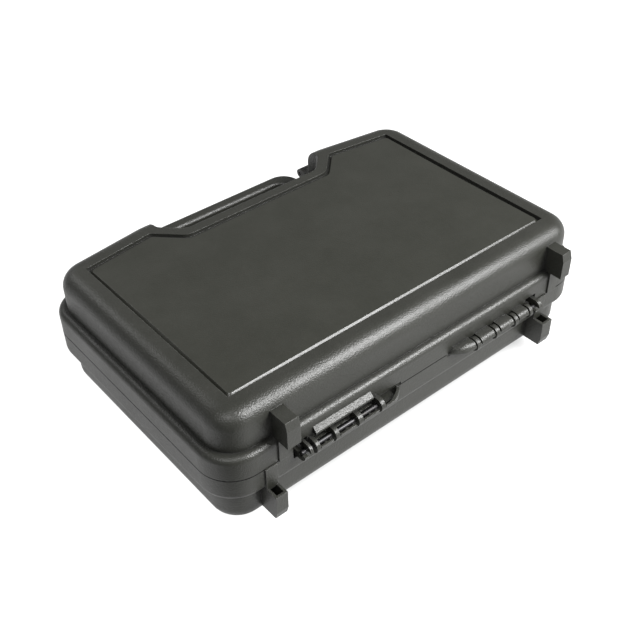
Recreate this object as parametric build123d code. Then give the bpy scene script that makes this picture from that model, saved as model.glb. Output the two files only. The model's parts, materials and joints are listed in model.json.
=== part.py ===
from build123d import *
import math
import os

# Portable battery box: a clamshell case of two like halves that holds a twelve-cell pack.
#
# X runs along the hinge side, Y from the hinges to the handle, Z up.  While a piece is drawn, Z = 0 is the
# parting plane of the case and X = Y = 0 is the middle of the top panel.  write_part() then shifts it, so
# that the exported pieces have their origin under the middle of the whole case, on the surface it rests on.

# ---------------------------------------------------------------- driving dimensions, millimetres
panel_length = 220.0        # inset plate, along X
panel_depth = 128.4         # inset plate, along Y at its corners
panel_bow = 5.8             # how far the plate's back edge bulges beside the handle
panel_bow_x = 67.3          # where the bulge ends, on each side of the handle
rim_side = 15.6             # from the plate to the body wall, left, right and front
rim_handle = 7.7            # rim between the plate and the handle recess
flange = 5.0                # how far the band stands out from the body wall
half_height = 37.0          # parting plane to the flat top
band_height = 14.3
band_trim = 0.6             # the band stands out this much less in front and at the grip
band_corner = 20.0          # plan radius of the band's corners
band_bend = 16.0            # plan radius of the band where its back edge bends
band_edge = 3.6
body_corner = 16.0
body_bend = 14.0
body_edge = 9.4             # rounded shoulder of the body
wall = 2.5
recess_edge = 1.0
recess_corner = 8.0
recess_mouth = 5.0
recess_flank = 12.0
groove_depth = 2.2
groove_gap = 1.0
plate_thickness = 1.4
plate_edge = 0.35
plate_corner = 0.4
plate_step = (3.0, 8.0)     # plan radii of the plate's step round the handle recess, outer and inner

grip_width = 100.0          # hand opening between the handle's legs
grip_back = 97.7            # inner face of the handle's bar
grip_corner = 9.0
handle_corner = 13.0
handle_root = 12.0          # how deep the handle's legs are rooted in the band
bar_thickness = 8.5
leg_thickness = 9.0
handle_height = 12.1
handle_edge = 3.0
recess_half = 48.0          # half length of the straight back of the recess

foot_proud = 8.0
foot_low = 14.2
foot_high = 30.3
foot_bevel_high = 4.7
foot_bevel_deep = 1.4
foot_wall = 1.5
feet_x = ((-98.1, -90.1), (99.4, 106.6))
foot_pad = 0.9
foot_root = 1.0             # how deep a foot is rooted in the body wall

hinge_proud = 3.3           # hinge axis in front of the band
pin_radius = 1.4
pin_edge = 0.3
ring_radius = 3.9
barrel_radius = 3.45
barrel_wall = 1.25
hinge_relief = 4.3
nose_relief = 3.85
rib_width = 1.4             # saddle rib in a barrel
rib_low = 0.2               # rib below the barrel's outside
arm_root = 4.0              # how deep a ring's arm is rooted in the band
pocket_deep = 2.5           # recess behind the pin, into the band
grip_fit = 0.02             # radial fit of a ring that holds its pin
turn_fit = 0.08             # radial fit of a bore that turns on its pin
ring_spans = ((34.2, 36.8), (49.4, 52.2), (65.0, 67.4), (77.4, 79.6))
barrel_spans = ((38.3, 48.6), (53.7, 64.0), (68.8, 76.6))
stop_ring_span = (82.0, 83.6)
collar_span = (85.0, 87.4)
nose_tip = 18.0
nose_end = 33.4
pocket_end = 89.0
pocket_ring_gap = 0.8
pocket_high = 5.0
pocket_front = 6.0          # how far a cutter reaches in front of the hinge axis
hood_span = (38.7, 76.4)
hood_top = 8.7
hood_proud = 2.5
hood_under = 4.3
hood_root = 3.0
hood_round = 0.7
nose_skin = 1.1             # wall of a nose
nose_root = 2.5
nose_taper = 11.5
parting_gap = 0.1           # half the gap between hinge pieces that face each other at the parting plane

latch_width = 24.0
latch_middle = 76.5
latch_plate = 2.4
latch_pivot_z = 13.0
latch_pivot_out = 3.4       # pivot behind the latch pad
latch_knuckle = 3.0
latch_drop = 31.0           # from the pivot to the lever's tip
latch_pad_out = 1.6         # pad in front of the band's own back wall
latch_side_gap = 0.35
latch_ear = 1.8
latch_pin_radius = 1.2
keeper_top = 8.0
keeper_high = 3.2
keeper_out = 1.9
nose_clear = 0.3
keeper_slope = 1.6
keeper_inset = 4.0          # keeper and snap nose narrower than the latch, each side
pad_root = 11.0
ear_root = 2.0
tip_curl = 1.6              # how far the lever's tip stands out for the finger
tip_high = 4.0

cell_diameter = 32.4
cell_length = 70.5
cell_pitch_y = 33.0
cell_gap_x = 8.0
cell_columns = 3
cell_rows = 4
cell_cap_radius = 4.5
cell_cap_height = 1.2
cell_edge = 1.0
cradle_floor = 0.8
cradle_rib = 3.0
cradle_fit = 0.3
cradle_past = 15.0          # how far the cradle reaches past the last row's middle
cradle_rib_drop = 4.0       # ribs end below the cells' axes
saddle_fit = 0.1            # between a cell and its saddle
first_row_gap = 2.0         # from the front wall to the first row of cells
strip_thickness = 0.4
strip_width = 10.0
bus_width = 8.0
bus_thickness = 1.0
bus_under_deck = 4.4        # bus bar's underside below the deck
deck_thickness = 2.0
deck_clear = 0.5            # deck above the cells
deck_gap = 0.7              # deck to the case wall
boss_radius = 3.6
boss_in = 4.4               # boss centre from the side wall
gusset_drop = 3.4           # gusset's top below the deck
screw_radius = 1.4
screw_head_radius = 3.0
screw_head_high = 1.8
screw_length = 10.0
screw_slot = (3.2, 0.6, 0.9)
gusset_width = 2.0
terminal_x = 98.0
stud_radius = 3.0
stud_high = 13.0
knob_radius = 7.0
knob_high = 8.0
knob_lift = 3.4
knob_flutes = 12
flute_radius = 1.3
flute_out = 0.7             # a flute's centre outside the knob
knob_edge = 0.8
nut_flat = 5.0
nut_high = 2.6
box_x = (81.0, 115.0)
box_y = (-30.0, 11.0)
box_corner = 4.0
box_edge = 1.5
box_high = 18.0
box_wall = 2.0
board_thickness = 1.6
board_lift = 2.0
board_gap = 1.5
chip_size = (5.0, 6.0, 1.6)
chip_count = 4
chip_pitch = 6.2
plug_size = (10.0, 4.5, 4.0)
standoff_radius = 2.0
rocker_size = (13.0, 19.0)
rocker_fit = 0.3
rocker_flange = 1.6
rocker_depth = 11.0
rocker_tilt = 10.0
rocker_pivot = 1.4          # pivot below the top of the box
rocker_pin = 1.1
rocker_pin_long = 0.9
rocker_wall = 1.2
rocker_well = 5.5
rocker_side_gap = 0.3
rocker_end_gap = 0.9
wing_low = 0.6              # middle of the rocker above the top of the box
wing_foot = 2.6
wing_drop = 3.4
blade_size = (4.0, 0.8, 2.5)
blade_pitch = 8.0
fuse_size = (16.0, 22.0, 9.0)
fuse_place = (60.0, -42.0)
fuse_well = (8.4, 19.2, 3.0)
fuse_blade_pitch = 12.0
fuse_blade = (0.7, 5.2, 2.3)
fuse_head = (4.8, 18.4, 9.0)
fuse_lift = 3.4
foam_thickness = 6.0
foam_corner = 6.0
foam_inset = 1.0
soft_gap = 0.3
slack = 1.0                 # how far a cutter passes the face it cuts

# ---------------------------------------------------------------- places worked out from them
body_x = panel_length / 2 + rim_side
body_front = -(panel_depth / 2 + rim_side)
body_back = panel_depth / 2 + rim_side - band_trim + panel_bow
bow_slope = panel_bow / (panel_length / 2 - panel_bow_x)
band_x = body_x + flange
band_front = body_front - flange + band_trim
band_back = body_back + flange
recess_y = panel_depth / 2 - 9.9 + rim_handle
grip_front = recess_y + flange - band_trim
floor_z = half_height - groove_depth - wall
cavity_edge = body_edge - wall
bar_back = grip_back + bar_thickness
hinge_y = band_front - hinge_proud
foot_front = band_front - foot_proud
y_middle = (foot_front + bar_back) / 2
cell_radius = cell_diameter / 2
cell_z = -floor_z + cradle_floor + cell_radius
cell_pitch_x = cell_length + cell_gap_x
first_row = body_front + wall + first_row_gap + cell_radius
deck_z = cell_z + cell_radius + deck_clear
deck_top = deck_z + deck_thickness
bus_z = deck_z - bus_under_deck
latch_back = band_back - bow_slope * (latch_middle - latch_width / 2 - latch_ear - panel_bow_x) + latch_pad_out
pivot_y = latch_back + latch_pivot_out


def write_part(shape, name):
    """Move a finished piece to the case's own origin and write it."""
    export_step(Pos(0, -y_middle, half_height) * shape, f"parts/{name}.step")


def block(x, y, z):
    """Box between two limits along each axis."""
    middle = [(a + b) / 2 for a, b in (x, y, z)]
    size = [b - a for a, b in (x, y, z)]
    return Pos(*middle) * Box(*size)


def rod(x, y, z, radius):
    """Cylinder along X between two limits, about the line through y and z."""
    return Pos((x[0] + x[1]) / 2, y, z) * Rot(0, 90, 0) * Cylinder(radius, x[1] - x[0])


def prism(points, radii, low, high):
    """Upright prism over a plan outline whose corners are rounded."""
    outline = FilletPolyline(*points, radius=list(radii), close=True)
    return Pos(0, 0, low) * extrude(make_face(outline), high - low)


def side_prism(points, x):
    """Prism along X over a straight-sided outline given as (y, z)."""
    outline = Polyline(*[(x[0], y, z) for y, z in points], close=True)
    return extrude(make_face(outline), x[1] - x[0], dir=(1, 0, 0))


def turned(shape):
    """The same shape on the other half: half a turn about Y."""
    return Rot(0, 180, 0) * shape


def bowed_plan(half_x, front, back, inset=0.0):
    """Plan corners of the case at one inset; the back edge bulges beside the handle."""
    x = half_x - inset
    bend = panel_bow_x - inset * bow_slope / 2
    far = back - inset
    corner = far - bow_slope * (x - bend)
    return [(-x, front + inset), (x, front + inset), (x, corner), (bend, far), (-bend, far), (-x, corner)]


def recess_plan(inset, reach=bar_back + 20 * slack):
    """Plan of the handle recess, grown by an inset, with 45 degree flanks and open at the back."""
    y = recess_y - inset
    half = recess_half + inset * math.tan(math.radians(22.5))
    outer = half + recess_flank
    far = outer + 1.5 * slack
    return [
        (-half, y), (half, y), (outer, y + recess_flank), (far, reach), (-far, reach), (-outer, y + recess_flank),
    ]


def recess_radii(shrink=0.0):
    """Plan radii that go with recess_plan()."""
    corner = recess_corner - shrink
    return [corner, corner, recess_mouth, slack, slack, recess_mouth]


def case_radii(corner, bend):
    """Plan radii that go with bowed_plan()."""
    return [corner] * 3 + [bend] * 2 + [corner]


def plate_radii(corner):
    """Plan radii that go with panel_plan()."""
    outer, inner = plate_step
    return [corner, corner, outer, inner, inner, outer, corner, corner]


def panel_plan(grow):
    """Plan of the inset plate grown by a gap; its back edge steps in round the handle recess."""
    x = panel_length / 2 + grow
    y = panel_depth / 2 + grow
    bulge = y + panel_bow
    step = recess_y - rim_handle + grow
    inner = recess_half + 3.6 - grow * 0.41
    outer = inner + bulge - step
    right = [(x, -y), (x, y), (outer, bulge - 0.1), (inner, step)]
    return right + [(-px, py) for px, py in reversed(right)]


# ---------------------------------------------------------------- the two moulded halves
def hinge_ring(x, low=-ring_radius, bore=pin_radius + grip_fit):
    """Ring round the hinge pin with an arm into the wall, drawn as it stands on the lid."""
    ring = rod(x, hinge_y, 0, ring_radius)
    if low > -ring_radius:
        ring = ring & block(x, (hinge_y - ring_radius, hinge_y + ring_radius), (low, ring_radius))
    arm = block(x, (hinge_y, band_front + arm_root), (parting_gap, ring_radius))
    reach = (x[0] - slack, x[1] + slack)
    return ring + arm - rod(reach, hinge_y, 0, bore)


def hinge_barrel(x):
    """Half barrel open toward the parting plane, with a saddle rib that rides on the pin."""
    deep = (hinge_y - barrel_radius, hinge_y + barrel_radius)
    shell = rod(x, hinge_y, 0, barrel_radius) - rod(x, hinge_y, 0, barrel_radius - barrel_wall)
    middle = (x[0] + x[1]) / 2
    rib_x = (middle - rib_width / 2, middle + rib_width / 2)
    rib = rod(rib_x, hinge_y, 0, barrel_radius - rib_low) - rod(rib_x, hinge_y, 0, pin_radius + turn_fit)
    half = (shell + rib) & block(x, deep, (parting_gap, barrel_radius))
    web = block(x, (hinge_y, band_front + arm_root), (barrel_radius - barrel_wall, barrel_radius))
    return half + web


def hinge_nose(skin):
    """Tapered nose at the inner end of a hinge, thinner by a skin, open toward the parting plane."""
    radius = barrel_radius - skin
    tip = nose_tip + 2 * skin
    out = hinge_y - radius
    x = (nose_tip, nose_end)
    root = band_front + nose_root
    round_part = rod(x, hinge_y, 0, radius) + block(x, (hinge_y, root), (-radius, radius))
    full = tip + nose_taper
    plan = make_face(
        Line((tip, root), (tip, band_front))
        + Spline((tip, band_front), (tip + 0.4 * nose_taper, band_front - 0.6 * (band_front - out)), (full, out),
                 tangents=((0.6, -1), (1, 0)))
        + Line((full, out), (nose_end, out))
        + Line((nose_end, out), (nose_end, root))
        + Line((nose_end, root), (tip, root))
    )
    top = radius + slack
    footprint = extrude(plan, top)
    front = make_face(
        Line((tip, 0), (nose_end, 0))
        + Line((nose_end, 0), (nose_end, top))
        + Line((nose_end, top), (tip + nose_taper / 2, top))
        + RadiusArc((tip + nose_taper / 2, top), (tip, 0), -0.8 * nose_taper)
    )
    side = Pos(0, root + slack, 0) * Rot(90, 0, 0) * extrude(front, nose_end)
    upper = block(x, (out - slack, root + slack), (parting_gap, top))
    return round_part & footprint & side & upper


def foot(x):
    """Hollow standing foot, open toward the parting plane, with a thin pad down to it."""
    back = body_front + foot_root
    profile = [
        (back, foot_low), (foot_front, foot_low), (foot_front, foot_high - foot_bevel_high),
        (foot_front + foot_bevel_deep, foot_high), (back, foot_high),
    ]
    hollow = block(
        (x[0] + foot_wall, x[1] - foot_wall),
        (foot_front + foot_wall, body_front - band_trim),
        (foot_low - slack, foot_high - foot_wall),
    )
    pad = block(x, (band_front - foot_pad, band_front + foot_root), (parting_gap, foot_low + foot_pad))
    return side_prism(profile, x) - hollow + pad


def case_half():
    """One moulded half, drawn as the lid: flanged body, handle half, feet and its share of both hinges."""
    plan = bowed_plan(body_x, body_front, body_back)
    body = prism(plan, case_radii(body_corner, body_bend), 0, half_height)
    body = fillet(body.faces().sort_by(Axis.Z)[-1].edges(), body_edge)
    body -= prism(recess_plan(0), recess_radii(), -slack, half_height + slack)
    top = body.faces().sort_by(Axis.Z)[-1]
    inner = [e for e in top.edges() if abs(e.center().X) < recess_half + 14 and e.center().Y > recess_y - 2]
    body = fillet(inner, recess_edge)

    plan = bowed_plan(band_x, band_front, band_back)
    band = prism(plan, case_radii(band_corner, band_bend), 0, band_height)
    band = fillet(band.faces().sort_by(Axis.Z)[-1].edges(), band_edge)
    grip = [(-grip_width / 2, grip_front), (grip_width / 2, grip_front),
            (grip_width / 2, grip_back), (-grip_width / 2, grip_back)]
    band -= prism(grip, [grip_corner] * 4, -slack, band_height + slack)

    handle_x = grip_width / 2 + leg_thickness
    root = band_back - handle_root
    ring = [(-handle_x, root), (handle_x, root), (handle_x, bar_back), (-handle_x, bar_back)]
    handle = prism(ring, [slack, slack, handle_corner, handle_corner], 0, handle_height)
    handle -= prism(grip, [grip_corner] * 4, -slack, handle_height + slack)
    rim = [e for e in handle.faces().sort_by(Axis.Z)[-1].edges() if e.center().Y > band_back - 8]
    handle = fillet(rim, handle_edge)
    half = body + band + handle

    plan = bowed_plan(body_x, body_front, body_back, wall)
    cavity = prism(plan, case_radii(body_corner - wall, body_bend), 0, floor_z)
    cavity = fillet(cavity.faces().sort_by(Axis.Z)[-1].edges(), cavity_edge)
    cavity += Pos(0, 0, -slack) * extrude(cavity.faces().sort_by(Axis.Z)[0], slack, dir=(0, 0, 1))
    cavity -= prism(recess_plan(wall), recess_radii(2 * slack), -2 * slack, half_height + slack)
    half -= cavity
    groove = plate_radii(plate_corner + groove_gap / 5)
    half -= prism(panel_plan(groove_gap), groove, half_height - groove_depth, half_height + slack)

    for x in feet_x:
        half += foot(x)
    for side in (-1, 1):
        span = sorted((side * (nose_end - rib_low), side * (stop_ring_span[0] - slack)))
        half -= rod(span, hinge_y, 0, hinge_relief)
        pocket = sorted((side * (ring_spans[-1][1] + pocket_ring_gap), side * pocket_end))
        half -= block(pocket, (hinge_y - pocket_front, band_front + pocket_deep), (-slack, pocket_high))
    half -= rod((-nose_end, -nose_tip + slack), hinge_y, 0, nose_relief)
    under_hood = (-hood_span[1], -hood_span[0])
    half -= block(under_hood, (hinge_y - pocket_front, band_front + pocket_deep), (-slack, hood_under))
    out = band_front - hood_proud
    top = hood_top + hood_root / 2
    hood = [(band_front + hood_root / 2, top), (out, hood_top - hood_proud), (out, hood_under + hood_round),
            (out + hood_round, hood_under), (band_front + hood_root, hood_under), (band_front + hood_root, top)]
    half += side_prism(hood, under_hood)
    for x in ring_spans:
        half += hinge_ring((-x[1], -x[0]))
    half += hinge_ring((-stop_ring_span[1], -stop_ring_span[0]), low=parting_gap)
    for x in barrel_spans:
        half += hinge_barrel(x)
    half += hinge_ring(collar_span, low=parting_gap, bore=pin_radius + turn_fit)
    half += hinge_nose(0.0)
    half -= Pos(0, 0, -parting_gap) * hinge_nose(nose_skin)
    return half


def latch_pad(side, low, high):
    """Flat landing for one latch on the band's sloping back wall."""
    middle = side * latch_middle
    reach = latch_width / 2 + latch_ear + latch_side_gap
    return block((middle - reach, middle + reach), (band_back - pad_root, latch_back), (low, high))


def latch_ears(side):
    """The two ears on the lid that carry one latch pin."""
    ears = None
    for end in (-1, 1):
        near = side * latch_middle + end * (latch_width / 2 + latch_side_gap)
        x = sorted((near, near + end * latch_ear))
        ear = rod(x, pivot_y, latch_pivot_z, latch_knuckle)
        low = latch_pivot_z - latch_knuckle - ear_root
        ear += block(x, (latch_back - ear_root, pivot_y), (low, latch_pivot_z + latch_knuckle))
        ear -= rod((x[0] - slack, x[1] + slack), pivot_y, latch_pivot_z, latch_pin_radius + grip_fit)
        ears = ear if ears is None else ears + ear
    return ears


def lid_shell():
    """Upper half with the pads and ears of the latches."""
    shell = case_half()
    for side in (-1, 1):
        shell += latch_pad(side, parting_gap, latch_pivot_z + latch_knuckle)
        shell += latch_ears(side)
    return shell


def boss_places():
    """Centres of the screw bosses that carry the deck."""
    x = body_x - wall - boss_in
    return [(side * x, first_row + row * cell_pitch_y) for side in (-1, 1) for row in (0.5, 1.5, 2.5)]


def base_shell():
    """Lower half with latch keepers and deck bosses."""
    shell = turned(case_half())
    for side in (-1, 1):
        shell += latch_pad(side, -latch_pivot_z - latch_knuckle, -parting_gap)
        middle = side * latch_middle
        reach = latch_width / 2 - keeper_inset
        foot_z = -keeper_top - keeper_high
        keeper = [(latch_back - slack, -keeper_top), (latch_back + keeper_out, -keeper_top - keeper_slope),
                  (latch_back + keeper_out, foot_z), (latch_back - slack, foot_z)]
        shell += side_prism(keeper, (middle - reach, middle + reach))
    for x, y in boss_places():
        boss = Pos(x, y, (deck_z - floor_z) / 2) * Cylinder(boss_radius, deck_z + floor_z)
        reach = sorted((x, math.copysign(body_x - wall / 2, x)))
        gusset = block(reach, (y - gusset_width / 2, y + gusset_width / 2), (-floor_z, deck_z - gusset_drop))
        shell += boss + gusset
        shell -= Pos(x, y, deck_z - screw_length / 2) * Cylinder(screw_radius + turn_fit, screw_length)
    return shell


def inset_plate(side):
    """Blank plate that lies in the recess of the lid (side 1) or the base (side -1)."""
    low = half_height - groove_depth
    plate = prism(panel_plan(0), plate_radii(plate_corner), low, low + plate_thickness)
    plate = chamfer(plate.faces().sort_by(Axis.Z)[-1].edges(), plate_edge)
    return plate if side > 0 else turned(plate)


def hinge_pin(side):
    """Steel pin; the left one is gripped by the lid's rings, the right one by the base's."""
    x = sorted((side * (ring_spans[0][0] - pin_edge), side * (collar_span[1] - pin_edge)))
    pin = rod(x, hinge_y, 0, pin_radius)
    return chamfer(pin.edges().filter_by(GeomType.CIRCLE), pin_edge)


# ---------------------------------------------------------------- latches
def latch(side):
    """Over-centre lever: a knuckle on its pin, a plate across the parting line and a snap nose."""
    middle = side * latch_middle
    x = (middle - latch_width / 2, middle + latch_width / 2)
    outer = pivot_y + latch_knuckle
    inner = outer - latch_plate
    low = latch_pivot_z - latch_drop
    curl = outer + tip_curl
    side_view = [
        (inner, latch_pivot_z), (inner, low + tip_high), (inner + tip_curl, low), (curl, low - tip_curl / 3),
        (curl, low + tip_curl / 2), (outer, low + tip_high), (outer, latch_pivot_z),
    ]
    lever = rod(x, pivot_y, latch_pivot_z, latch_knuckle) + side_prism(side_view, x)
    nose_y = latch_back + keeper_out + nose_clear
    nose_top = -keeper_top - keeper_high - nose_clear
    root = inner + latch_plate / 4
    nose_view = [(root, nose_top), (nose_y, nose_top), (nose_y, nose_top - keeper_slope),
                 (root, nose_top - 2 * keeper_slope)]
    lever += side_prism(nose_view, (x[0] + keeper_inset, x[1] - keeper_inset))
    return lever - rod((x[0] - slack, x[1] + slack), pivot_y, latch_pivot_z, latch_pin_radius + turn_fit)


def latch_pin(side):
    """Steel pin through the lid's ears and one latch."""
    reach = latch_width / 2 + latch_side_gap + latch_ear - pin_edge
    pin = rod((side * latch_middle - reach, side * latch_middle + reach), pivot_y, latch_pivot_z, latch_pin_radius)
    return chamfer(pin.edges().filter_by(GeomType.CIRCLE), pin_edge)


# ---------------------------------------------------------------- battery pack
def column_x(column):
    return (column - (cell_columns - 1) / 2) * cell_pitch_x


def row_y(row):
    return first_row + row * cell_pitch_y


def cell(column, row):
    """Cylindrical cell along X; every other row is turned round for the series joints."""
    toward = 1 if row % 2 == 0 else -1
    length = cell_length - cell_cap_height
    can = Cylinder(cell_radius, length)
    can = fillet(can.edges(), cell_edge)
    cap = Pos(0, 0, length / 2 + cell_cap_height / 2) * Cylinder(cell_cap_radius, cell_cap_height)
    upright = Pos(0, 0, -cell_cap_height / 2) * (can + cap)
    return Pos(column_x(column), row_y(row), cell_z) * Rot(0, 90 * toward, 0) * upright


def cell_cradle():
    """Floor plate with two saddle ribs under each column of cells."""
    y = (body_front + wall + cavity_edge + cradle_fit, row_y(cell_rows - 1) + cradle_past)
    reach = body_x - wall - cavity_edge - cradle_fit
    plan = [(-reach, y[0]), (reach, y[0]), (reach, y[1]), (-reach, y[1])]
    plate = prism(plan, [body_corner, body_corner, cradle_rib, cradle_rib], -floor_z, -floor_z + cradle_floor)
    for column in range(cell_columns):
        for end in (-1, 1):
            x = column_x(column) + end * cell_length / 3
            plate += block((x - cradle_rib / 2, x + cradle_rib / 2), y, (-floor_z, cell_z - cradle_rib_drop))
    for row in range(cell_rows):
        plate -= rod((-reach - slack, reach + slack), row_y(row), cell_z, cell_radius + saddle_fit)
    for x, y in boss_places():
        plate -= Pos(x, y, -floor_z) * Cylinder(boss_radius + cradle_fit, half_height)
    return plate


def strip(x, row):
    """Nickel strip on the cell ends of two neighbouring rows."""
    y = (row_y(row) - strip_width / 2, row_y(row + 1) + strip_width / 2)
    return block(x, y, (cell_z - strip_width / 2, cell_z + strip_width / 2))


def series_strips():
    """All the strips that join the rows of each column in series."""
    strips = []
    for column in range(cell_columns):
        left = column_x(column) - cell_length / 2
        right = column_x(column) + cell_length / 2
        for row in range(0, cell_rows - 1, 2):
            strips.append(strip((left - strip_thickness, left), row))
        for row in range(1, cell_rows - 1, 2):
            strips.append(strip((right, right + strip_thickness), row))
    return Compound(children=strips)


def bus_bar(row, toward):
    """Bar in the valley beside an end row, with a tab down to each column's free cell end."""
    middle = row_y(row) + toward * cell_pitch_y / 2
    ends = [column_x(column) + cell_length / 2 for column in range(cell_columns)]
    bar = block((ends[0], terminal_x + 2 * stud_radius), (middle - bus_width / 2, middle + bus_width / 2),
                (bus_z, bus_z + bus_thickness))
    tab_y = sorted((row_y(row) - toward * strip_width / 2, middle))
    for end in ends[:-1]:
        bar += block((end, end + strip_thickness), tab_y, (cell_z - strip_width / 2, bus_z + bus_thickness))
    last = ends[-1]
    bar += block((terminal_x, last + strip_thickness), (middle - stud_radius, middle + stud_radius),
                 (bus_z, bus_z + bus_thickness))
    bar += block((last, last + strip_thickness), tab_y, (cell_z - strip_width / 2, bus_z + bus_thickness))
    return bar


def terminal_y(row, toward):
    return row_y(row) + toward * cell_pitch_y / 2


TERMINALS = {"positive": (0, 1), "negative": (cell_rows - 1, -1)}


# ---------------------------------------------------------------- deck and what stands on it
def deck_panel():
    """Insulating deck over the cells, with holes for the screws and the two studs."""
    x = body_x - wall - deck_gap
    y = (body_front + wall + deck_gap, recess_y - wall - deck_gap)
    plan = [(-x, y[0]), (x, y[0]), (x, y[1]), (-x, y[1])]
    deck = prism(plan, [body_corner - wall] * 2 + [cradle_rib] * 2, deck_z, deck_top)
    for bx, by in boss_places():
        deck -= Pos(bx, by, deck_z) * Cylinder(screw_radius + cradle_fit, 3 * deck_thickness)
    for row, toward in TERMINALS.values():
        place = Pos(terminal_x, terminal_y(row, toward), deck_z)
        deck -= place * Cylinder(stud_radius + cradle_fit, 3 * deck_thickness)
    return deck


def deck_screws():
    """Self-tapping pan-head screws through the deck into the bosses."""
    screws = []
    for x, y in boss_places():
        long = screw_length - slack / 2
        shank = Pos(x, y, deck_top - long / 2) * Cylinder(screw_radius, long)
        head = Cylinder(screw_head_radius, screw_head_high)
        head = fillet(head.edges().sort_by(Axis.Z)[-1:], screw_head_high / 2)
        head = Pos(x, y, deck_top + screw_head_high / 2) * head
        arm, narrow, lift = screw_slot
        slot = Pos(x, y, deck_top + lift + slack)
        screw = shank + head - slot * Box(arm, narrow, 2 * slack)
        screws.append(screw - slot * Box(narrow, arm, 2 * slack))
    return Compound(children=screws)


def terminal_stud(name):
    """Brass stud that stands on its bus bar, with a flange nut on the deck."""
    y = terminal_y(*TERMINALS[name])
    foot_z = bus_z + bus_thickness
    top = deck_top + stud_high
    stud = Pos(terminal_x, y, (foot_z + top) / 2) * Cylinder(stud_radius, top - foot_z)
    nut = Pos(terminal_x, y, deck_top) * extrude(RegularPolygon(nut_flat, 6, major_radius=False), nut_high)
    return stud + nut


def terminal_knob(name):
    """Fluted clamp knob screwed on the stud."""
    y = terminal_y(*TERMINALS[name])
    low = deck_top + knob_lift
    middle = Pos(terminal_x, y, low + knob_high / 2)
    knob = middle * Cylinder(knob_radius, knob_high)
    knob = chamfer(knob.edges().filter_by(GeomType.CIRCLE), knob_edge)
    for place in PolarLocations(knob_radius + flute_out, knob_flutes):
        knob -= middle * place * Cylinder(flute_radius, knob_high + slack)
    return knob - middle * Cylinder(stud_radius + turn_fit, 2 * knob_high)


def rocker_centre():
    return (box_x[0] + box_x[1]) / 2, (box_y[0] + box_y[1]) / 2


def control_box():
    """Hood over the protection board, open below, with the switch cut-out in its top."""
    high = deck_top + box_high
    outer = block(box_x, box_y, (deck_top, high))
    outer = fillet(outer.edges().filter_by(Axis.Z), box_corner)
    outer = fillet(outer.faces().sort_by(Axis.Z)[-1].edges(), box_edge)
    inner = block((box_x[0] + box_wall, box_x[1] - box_wall), (box_y[0] + box_wall, box_y[1] - box_wall),
                  (deck_top - slack, high - box_wall))
    inner = fillet(inner.edges().filter_by(Axis.Z), box_corner - box_wall)
    cx, cy = rocker_centre()
    x, y = rocker_size[0] / 2, rocker_size[1] / 2
    return outer - inner - block((cx - x, cx + x), (cy - y, cy + y), (high - 2 * box_wall, high + slack))


def switch_body():
    """Snap-in rocker switch housing with a bezel, a well for the rocker and two blade terminals."""
    cx, cy = rocker_centre()
    top = deck_top + box_high
    x, y = rocker_size[0] / 2 - rocker_fit, rocker_size[1] / 2 - rocker_fit
    body = block((cx - x, cx + x), (cy - y, cy + y), (top - rocker_depth, top))
    rim_x, rim_y = x + rocker_wall, y + rocker_wall
    bezel = block((cx - rim_x, cx + rim_x), (cy - rim_y, cy + rim_y), (top, top + rocker_flange))
    bezel = chamfer(bezel.faces().sort_by(Axis.Z)[-1].edges(), rocker_flange / 3)
    in_x, in_y = x - rocker_wall, y - rocker_wall
    well = block((cx - in_x, cx + in_x), (cy - in_y, cy + in_y), (top - rocker_well, top + 2 * rocker_flange))
    body = body + bezel - well
    wide, thick, long = blade_size
    low = top - rocker_depth
    for end in (-1, 1):
        y = cy + end * blade_pitch / 2
        body += block((cx - wide / 2, cx + wide / 2), (y - thick / 2, y + thick / 2), (low - long, low))
        edge = cx + end * in_x
        body += rod(sorted((edge, edge - end * rocker_pin_long)), cy, top - rocker_pivot, rocker_pin)
    return body


def rocker_button():
    """Rocker with two flat wings at an obtuse angle, drawn tilted to its off side."""
    cx, cy = rocker_centre()
    top = deck_top + box_high
    x = rocker_size[0] / 2 - rocker_fit - rocker_wall - rocker_side_gap
    y = rocker_size[1] / 2 - rocker_fit - rocker_wall - rocker_end_gap
    lift = math.tan(math.radians(rocker_tilt)) * y
    side_view = [
        (-y, lift + wing_low), (0, wing_low), (y, lift + wing_low), (y - wing_low, -1.5 * wing_low),
        (wing_foot, -wing_drop), (-wing_foot, -wing_drop), (-y + wing_low, -1.5 * wing_low),
    ]
    wings = side_prism(side_view, (-x, x))
    wings -= rod((-x - slack, x + slack), 0, -rocker_pivot, rocker_pin + turn_fit)
    return Pos(cx, cy, top - rocker_pivot) * Rot(-rocker_tilt, 0, 0) * Pos(0, 0, rocker_pivot) * wings


def protection_board():
    """Circuit board on four short standoffs, with its switching transistors, shunt and connector."""
    low = deck_top + board_lift
    gap = box_wall + board_gap
    x = (box_x[0] + gap, box_x[1] - gap)
    y = (box_y[0] + gap, box_y[1] - gap)
    board = block(x, y, (low, low + board_thickness))
    top = low + board_thickness
    inset = 1.5 * standoff_radius
    for px in (x[0] + inset, x[1] - inset):
        for py in (y[0] + inset, y[1] - inset):
            board += Pos(px, py, (deck_top + low) / 2) * Cylinder(standoff_radius, board_lift)
    wide, deep, high = chip_size
    back = y[1] - standoff_radius
    for index in range(chip_count):
        left = (x[0] + x[1] - wide) / 2 + (index - (chip_count - 1) / 2) * chip_pitch
        board += block((left, left + wide), (back - deep, back), (top, top + high))
    wide, deep, high = plug_size
    front = y[0] + standoff_radius
    board += block((x[0] + wide / 2, x[0] + 1.5 * wide), (front, front + deep), (top, top + high))
    return board


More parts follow.
